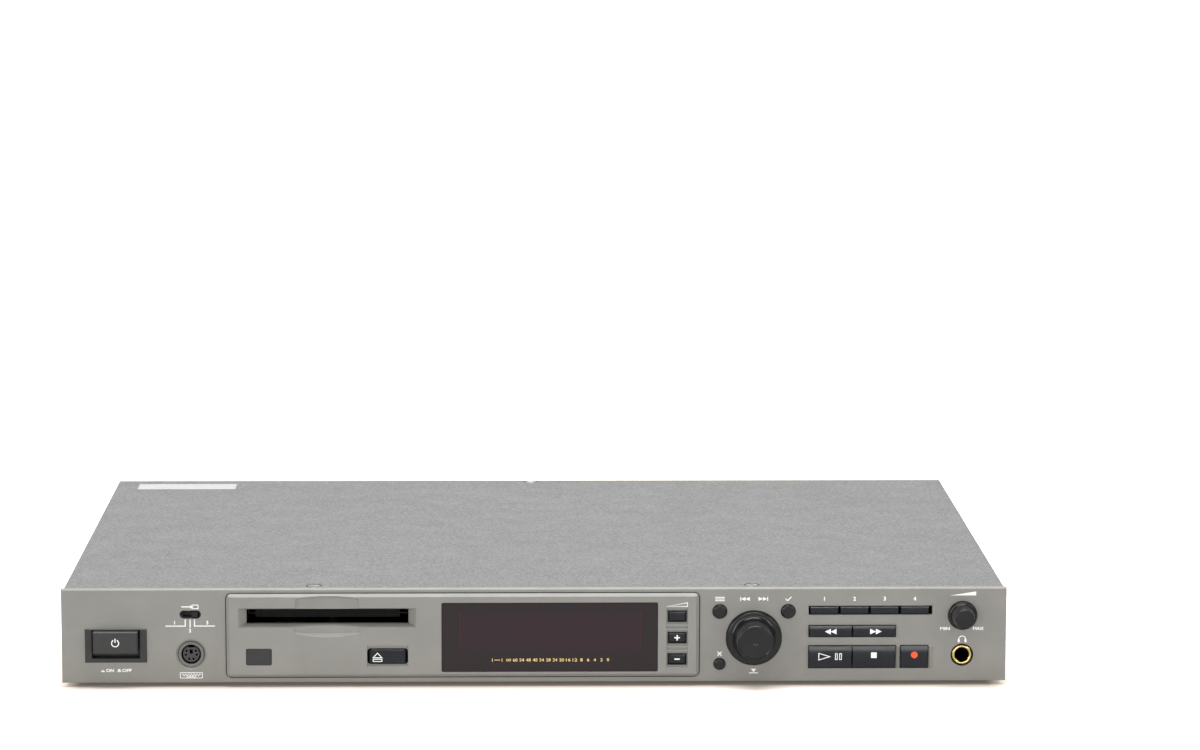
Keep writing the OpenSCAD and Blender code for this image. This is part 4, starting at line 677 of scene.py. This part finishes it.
def print_input(ink):
    """Bracket lines from the switch's three places to 1, 2 and 3, and an arrow for its title."""
    lines = stroke([(-158.9, 29.2), (-158.9, 26.2), (-167.9, 26.2)], BRACKET_LINE)
    lines += stroke([(-156.7, 29.2), (-156.7, 25.4)], BRACKET_LINE)
    lines += stroke([(-154.7, 29.2), (-154.7, 26.2), (-145.4, 26.2)], BRACKET_LINE)
    flat_mesh("input_lines", lines, (0, PANEL_PRINT, 0), ink)
    for figure, x, z in (("1", -163.7, 27.8), ("2", -156.75, 24.1), ("3", -148.9, 27.8)):
        lettering("input_figure_" + figure, figure, (x, PANEL_PRINT, z), FIGURE_HEIGHT, ink)
    arrow = [bar(-2.1, 0, 4.2, 0.46), pointer(0.7, 0, 1.6, 1.6)]
    arrow += stroke([(0.5, 0.85), (3.4, 0.85), (3.4, -0.85), (0.5, -0.85)], 0.38)
    x, z = INPUT_SIGN_PLACE
    flat_mesh("input_sign", arrow, (x, PANEL_PRINT, z), ink)


def print_socket(ink):
    """Small keyboard under the socket: outline, two rows of keys and a space bar."""
    marks = stroke(bar(0, 0, 10.0, 2.5), 0.3, closed=True)
    marks += [bar(-3.9 + 1.3 * i, 0.5, 0.75, 0.42) for i in range(7)]
    marks += [bar(-3.25 + 1.3 * i, -0.12, 0.75, 0.42) for i in range(6)]
    marks += [bar(0, -0.74, 4.4, 0.36)]
    x = middle("keyboard_socket_shell")[0]
    flat_mesh("keyboard_sign", marks, (x, PANEL_PRINT, KEYBOARD_SIGN_Z), ink)


SCALE_FIGURES = ("60", "54", "48", "40", "34", "28", "24", "20", "16", "12",
                 "8", "6", "4", "2", "0")
SCALE_FIRST_X = -9.1
SCALE_PITCH = 3.02
SCALE_Z = 10.3


def print_scale(ink):
    """Gold level scale along the window: an open-ended start and then falling figures."""
    def along(dx):
        return SCALE_FIRST_X + dx, WINDOW_PRINT, SCALE_Z

    for i, figure in enumerate(SCALE_FIGURES):
        lettering("scale_" + figure, figure, along(SCALE_PITCH * i), SCALE_HEIGHT, ink,
                  width=SCALE_FIGURE_WIDTH * len(figure), bold=SCALE_BOLD)
    rings = stroke(arc(0.46, 0, 345, 16, (-0.58, 0)), 0.22, closed=True)
    rings += stroke(arc(0.46, 0, 345, 16, (0.58, 0)), 0.22, closed=True)
    flat_mesh("scale_start", rings, along(-3.0), ink)
    lead = [bar(-2.2, 0, 0.3, 1.4), bar(0, 0, 2.6, 0.28), bar(2.2, 0, 0.3, 1.4)]
    flat_mesh("scale_lead", lead, along(-8.2), ink)


def print_keys(ink, red):
    """Transport signs on the keys, each riding on its own key."""
    def on_key(name, key, shapes, material=ink, dx=0.0, dz=0.0):
        x, z = middle(key)
        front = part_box(key)[0].y / MM - FACE_Y
        flat_mesh(name, shapes, (x + dx, front - PRINT_LIFT, z + dz), material, key)

    back = [pointer(1.3, 0, -2.7, 2.6), pointer(-1.3, 0, -2.7, 2.6)]
    on_key("rewind_sign", "rewind_key", back)
    ahead = [pointer(-1.3, 0, 2.7, 2.6), pointer(1.3, 0, 2.7, 2.6)]
    on_key("forward_sign", "forward_key", ahead, dx=0.8)
    play = stroke([(-5.6, -1.55), (-0.6, 0), (-5.6, 1.55)], KEY_LINE, closed=True)
    play += stroke(bar(2.4, 0, 0.85, 2.7), PAUSE_LINE, closed=True)
    play += stroke(bar(4.3, 0, 0.85, 2.7), PAUSE_LINE, closed=True)
    on_key("play_sign", "play_key", play, dx=0.3, dz=0.3)
    on_key("stop_sign", "stop_key", [bar(0, 0, 2.6, 2.6)], dz=0.9)
    on_key("record_sign", "record_key", [arc(1.55, 0, 352.5, 47)], red, dz=1.0)
    eject = stroke([(-2.0, -0.55), (2.0, -0.55), (0, 1.65)], KEY_LINE, closed=True)
    eject += stroke(bar(0, -1.75, 4.0, 1.0), PAUSE_LINE, closed=True)
    on_key("eject_sign", "eject_button", eject, dx=-4.6)
    minus = [bar(0, 0, 2.5, 0.62)]
    plus = minus + [bar(0, 0.78, 0.62, 0.94), bar(0, -0.78, 0.62, 0.94)]
    on_key("plus_sign", "speed_key_plus", plus)
    on_key("minus_sign", "speed_key_minus", minus)


def print_panel_signs(ink):
    """Plain signs beside the round keys, dial, function keys, level knob and headphone jack."""
    def on_panel(name, shapes, x, z):
        flat_mesh(name, shapes, (x, PANEL_PRINT, z), ink)

    lines = [bar(0, 0.78 * (1 - i), 4.4, 0.4) for i in range(3)]
    on_panel("menu_sign", lines, middle("menu_key")[0], SIGN_ROW_Z)
    tick = stroke([(-1.3, 0.05), (-0.35, -0.85), (1.4, 0.95)], SIGN_LINE)
    on_panel("yes_sign", tick, middle("yes_key")[0], SIGN_ROW_Z)
    cross = stroke([(-0.95, -0.95), (0.95, 0.95)], SIGN_LINE)
    cross += stroke([(-0.95, 0.95), (0.95, -0.95)], SIGN_LINE)
    on_panel("clear_sign", cross, middle("clear_key")[0], CLEAR_SIGN_Z)

    dial_x = middle("jog_dial")[0]
    back = [bar(-2.3, 0, 0.4, 1.9), pointer(-1.1, 0, -2.0, 1.9), pointer(0.9, 0, -2.0, 1.9)]
    ahead = [[(-x, z) for x, z in reversed(shape)] for shape in back]
    on_panel("skip_back_sign", back, dial_x - SKIP_SIGN_REACH, SIGN_ROW_Z)
    on_panel("skip_ahead_sign", ahead, dial_x + SKIP_SIGN_REACH, SIGN_ROW_Z)
    push = [bar(0, -0.95, 4.2, 0.4), pointer_down(0, 0.15, 2.4, 1.6)]
    on_panel("push_sign", push, dial_x, PUSH_SIGN_Z)

    for i in range(1, FUNCTION_KEYS + 1):
        at = (middle(f"function_key_{i}")[0], PANEL_PRINT, SIGN_ROW_Z)
        lettering(f"function_figure_{i}", str(i), at, FUNCTION_FIGURE_HEIGHT, ink)
    wedge = stroke([(-4.6, -0.8), (4.6, -0.8), (4.6, 0.9)], PAUSE_LINE, closed=True)
    at = (middle("speed_key_mode")[0], ESCUTCHEON_PRINT, SPEED_SIGN_Z)
    flat_mesh("speed_sign", wedge, at, ink)

    level_x = middle("level_knob")[0]
    on_panel("level_sign", [[(-6.0, -0.9), (6.0, -0.9), (6.0, 0.95)]], level_x, LEVEL_SIGN_Z)
    for name, text, dx, width in (("min_word", "MIN", -8.0, 4.5), ("max_word", "MAX", 7.3, 5.0)):
        at = (level_x + dx, PANEL_PRINT, LEVEL_WORDS_Z)
        lettering(name, text, at, WORD_HEIGHT, ink, width=width)
    headphones = stroke(arc(1.6, 0, 180, 20), 0.42)
    headphones += [bar(-1.55, -0.6, 0.95, 1.4), bar(1.55, -0.6, 0.95, 1.4)]
    on_panel("headphone_sign", headphones, middle("phones_jack_ring")[0], HEADPHONE_SIGN_Z)


# ---------------------------------------------------------------- painted shade in the gaps
# Widths in mm of the painted shade rims and lines.
PAINTED_GAP_SHADE = 0.34
KEY_FRONT = 1.0  # depth of a key in which its visible outline is sought
PANEL_SHADED_GAPS = ["rewind_key", "forward_key", "play_key", "stop_key", "record_key"]
ESCUTCHEON_SHADED_GAPS = ["speed_key_mode", "speed_key_plus", "speed_key_minus"]
ROUND_SHADED_GAPS = {  # width of the painted shade rim, and depth of what shows
    "jog_dial": (0.62, 30),
    "level_knob": (0.36, 30),
    "menu_key": (0.36, KEY_FRONT),
    "yes_key": (0.36, KEY_FRONT),
    "clear_key": (0.36, KEY_FRONT),
}
PAINTED_GROOVE_SHADE = 0.3
GROOVE_CORNER = 2.7
PAINTED_WINDOW_SHADOW = 0.26
PAINTED_WINDOW_SHADOW_INSET = 0.8


def front_outline(node, deep):
    """Centre and size, in millimetres, of the foremost part of a node, this many deep."""
    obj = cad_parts[node]
    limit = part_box(node)[0].y / MM + deep
    spots = [obj.matrix_world @ v.co / MM for v in obj.data.vertices]
    shown = [p for p in spots if p.y < limit]
    xs, zs = [p.x for p in shown], [p.z - BOTTOM_Z for p in shown]
    return (min(xs) + max(xs)) / 2, (min(zs) + max(zs)) / 2, max(xs) - min(xs), max(zs) - min(zs)


def rounded_frame(half_w, half_h, corner):
    """Outline of a rectangle with rounded corners, about its centre."""
    outline = []
    for turn, sx, sz in ((0, 1, 1), (90, -1, 1), (180, -1, -1), (270, 1, -1)):
        centre = (sx * (half_w - corner), sz * (half_h - corner))
        outline += arc(corner, turn, turn + 90, 8, centre)
    return outline


def make_gap_shades(material):
    """Painted shade: black rims in the gaps round keys, knobs and mouldings, and under the window.
    """
    for names, proud in ((PANEL_SHADED_GAPS, 0.0), (ESCUTCHEON_SHADED_GAPS, ESCUTCHEON_PROUD)):
        for node in names:
            x, z, w, h = front_outline(node, KEY_FRONT)
            outline = stroke(bar(0, 0, w + PAINTED_GAP_SHADE, h + PAINTED_GAP_SHADE), PAINTED_GAP_SHADE, closed=True)
            flat_mesh(node + "_gap", outline, (x, -proud - PRINT_LIFT, z), material)
    for node, (width, deep) in ROUND_SHADED_GAPS.items():
        x, z, w, _ = front_outline(node, deep)
        outline = stroke(arc((w + width) / 2, 0, 354, 59), width, closed=True)
        flat_mesh(node + "_gap", outline, (x, PANEL_PRINT, z), material)

    # Painted shade in the groove round the escutcheon.
    x, z, w, h = front_outline("centre_escutcheon", ESCUTCHEON_PROUD)
    groove = rounded_frame((w + PAINTED_GROOVE_SHADE) / 2, (h + PAINTED_GROOVE_SHADE) / 2, GROOVE_CORNER)
    outline = stroke(groove, PAINTED_GROOVE_SHADE, closed=True)
    flat_mesh("escutcheon_gap", outline, (x, PANEL_PRINT, z), material)

    # Painted shadow under the window's top edge, as from its recess.
    lo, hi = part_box("display_window")
    width = (hi.x - lo.x) / MM - 2 * WINDOW_STEP - PAINTED_WINDOW_SHADOW_INSET
    z = hi.z / MM - BOTTOM_Z - WINDOW_STEP - PAINTED_WINDOW_SHADOW / 2
    at = (middle("display_window")[0], WINDOW_PRINT, z)
    flat_mesh("window_gap", [bar(0, 0, width, PAINTED_WINDOW_SHADOW)], at, material)


# ---------------------------------------------------------------- top strip
STRIP_LEFT, STRIP_RIGHT = -202.4, -152.2
STRIP_DEPTH = 14.5
STRIP_GAP = 9.2  # to the cover's rear edge


def make_strip(material):
    """Bare pale film stuck on the cover near its rear left corner."""
    y1 = BACK_Y - STRIP_GAP
    y0 = y1 - STRIP_DEPTH
    outline = ((STRIP_LEFT, y0), (STRIP_RIGHT, y0), (STRIP_RIGHT, y1), (STRIP_LEFT, y1))
    corners = [place(x, y, z) for z in (TOP_Z, TOP_Z + PRINT_LIFT) for x, y in outline]
    sides = [(i, (i + 1) % 4, (i + 1) % 4 + 4, i + 4) for i in range(4)]
    mesh = bpy.data.meshes.new("top_strip")
    mesh.from_pydata(corners, [], [(3, 2, 1, 0), (4, 5, 6, 7)] + sides)
    mesh.materials.append(material)
    strip = new_object("top_strip", mesh)
    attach(strip, "case")


# ---------------------------------------------------------------- run
make_camera()
make_world()
make_floor()
make_lights()
materials = make_materials()
dress_nodes(materials)
print_power(materials["print"])
print_input(materials["print"])
print_socket(materials["print"])
print_scale(materials["gold_ink"])
print_keys(materials["print"], materials["red_ink"])
print_panel_signs(materials["print"])
make_gap_shades(materials["black"])
make_strip(materials["strip"])
bpy.context.scene.view_settings.view_transform = "Standard"
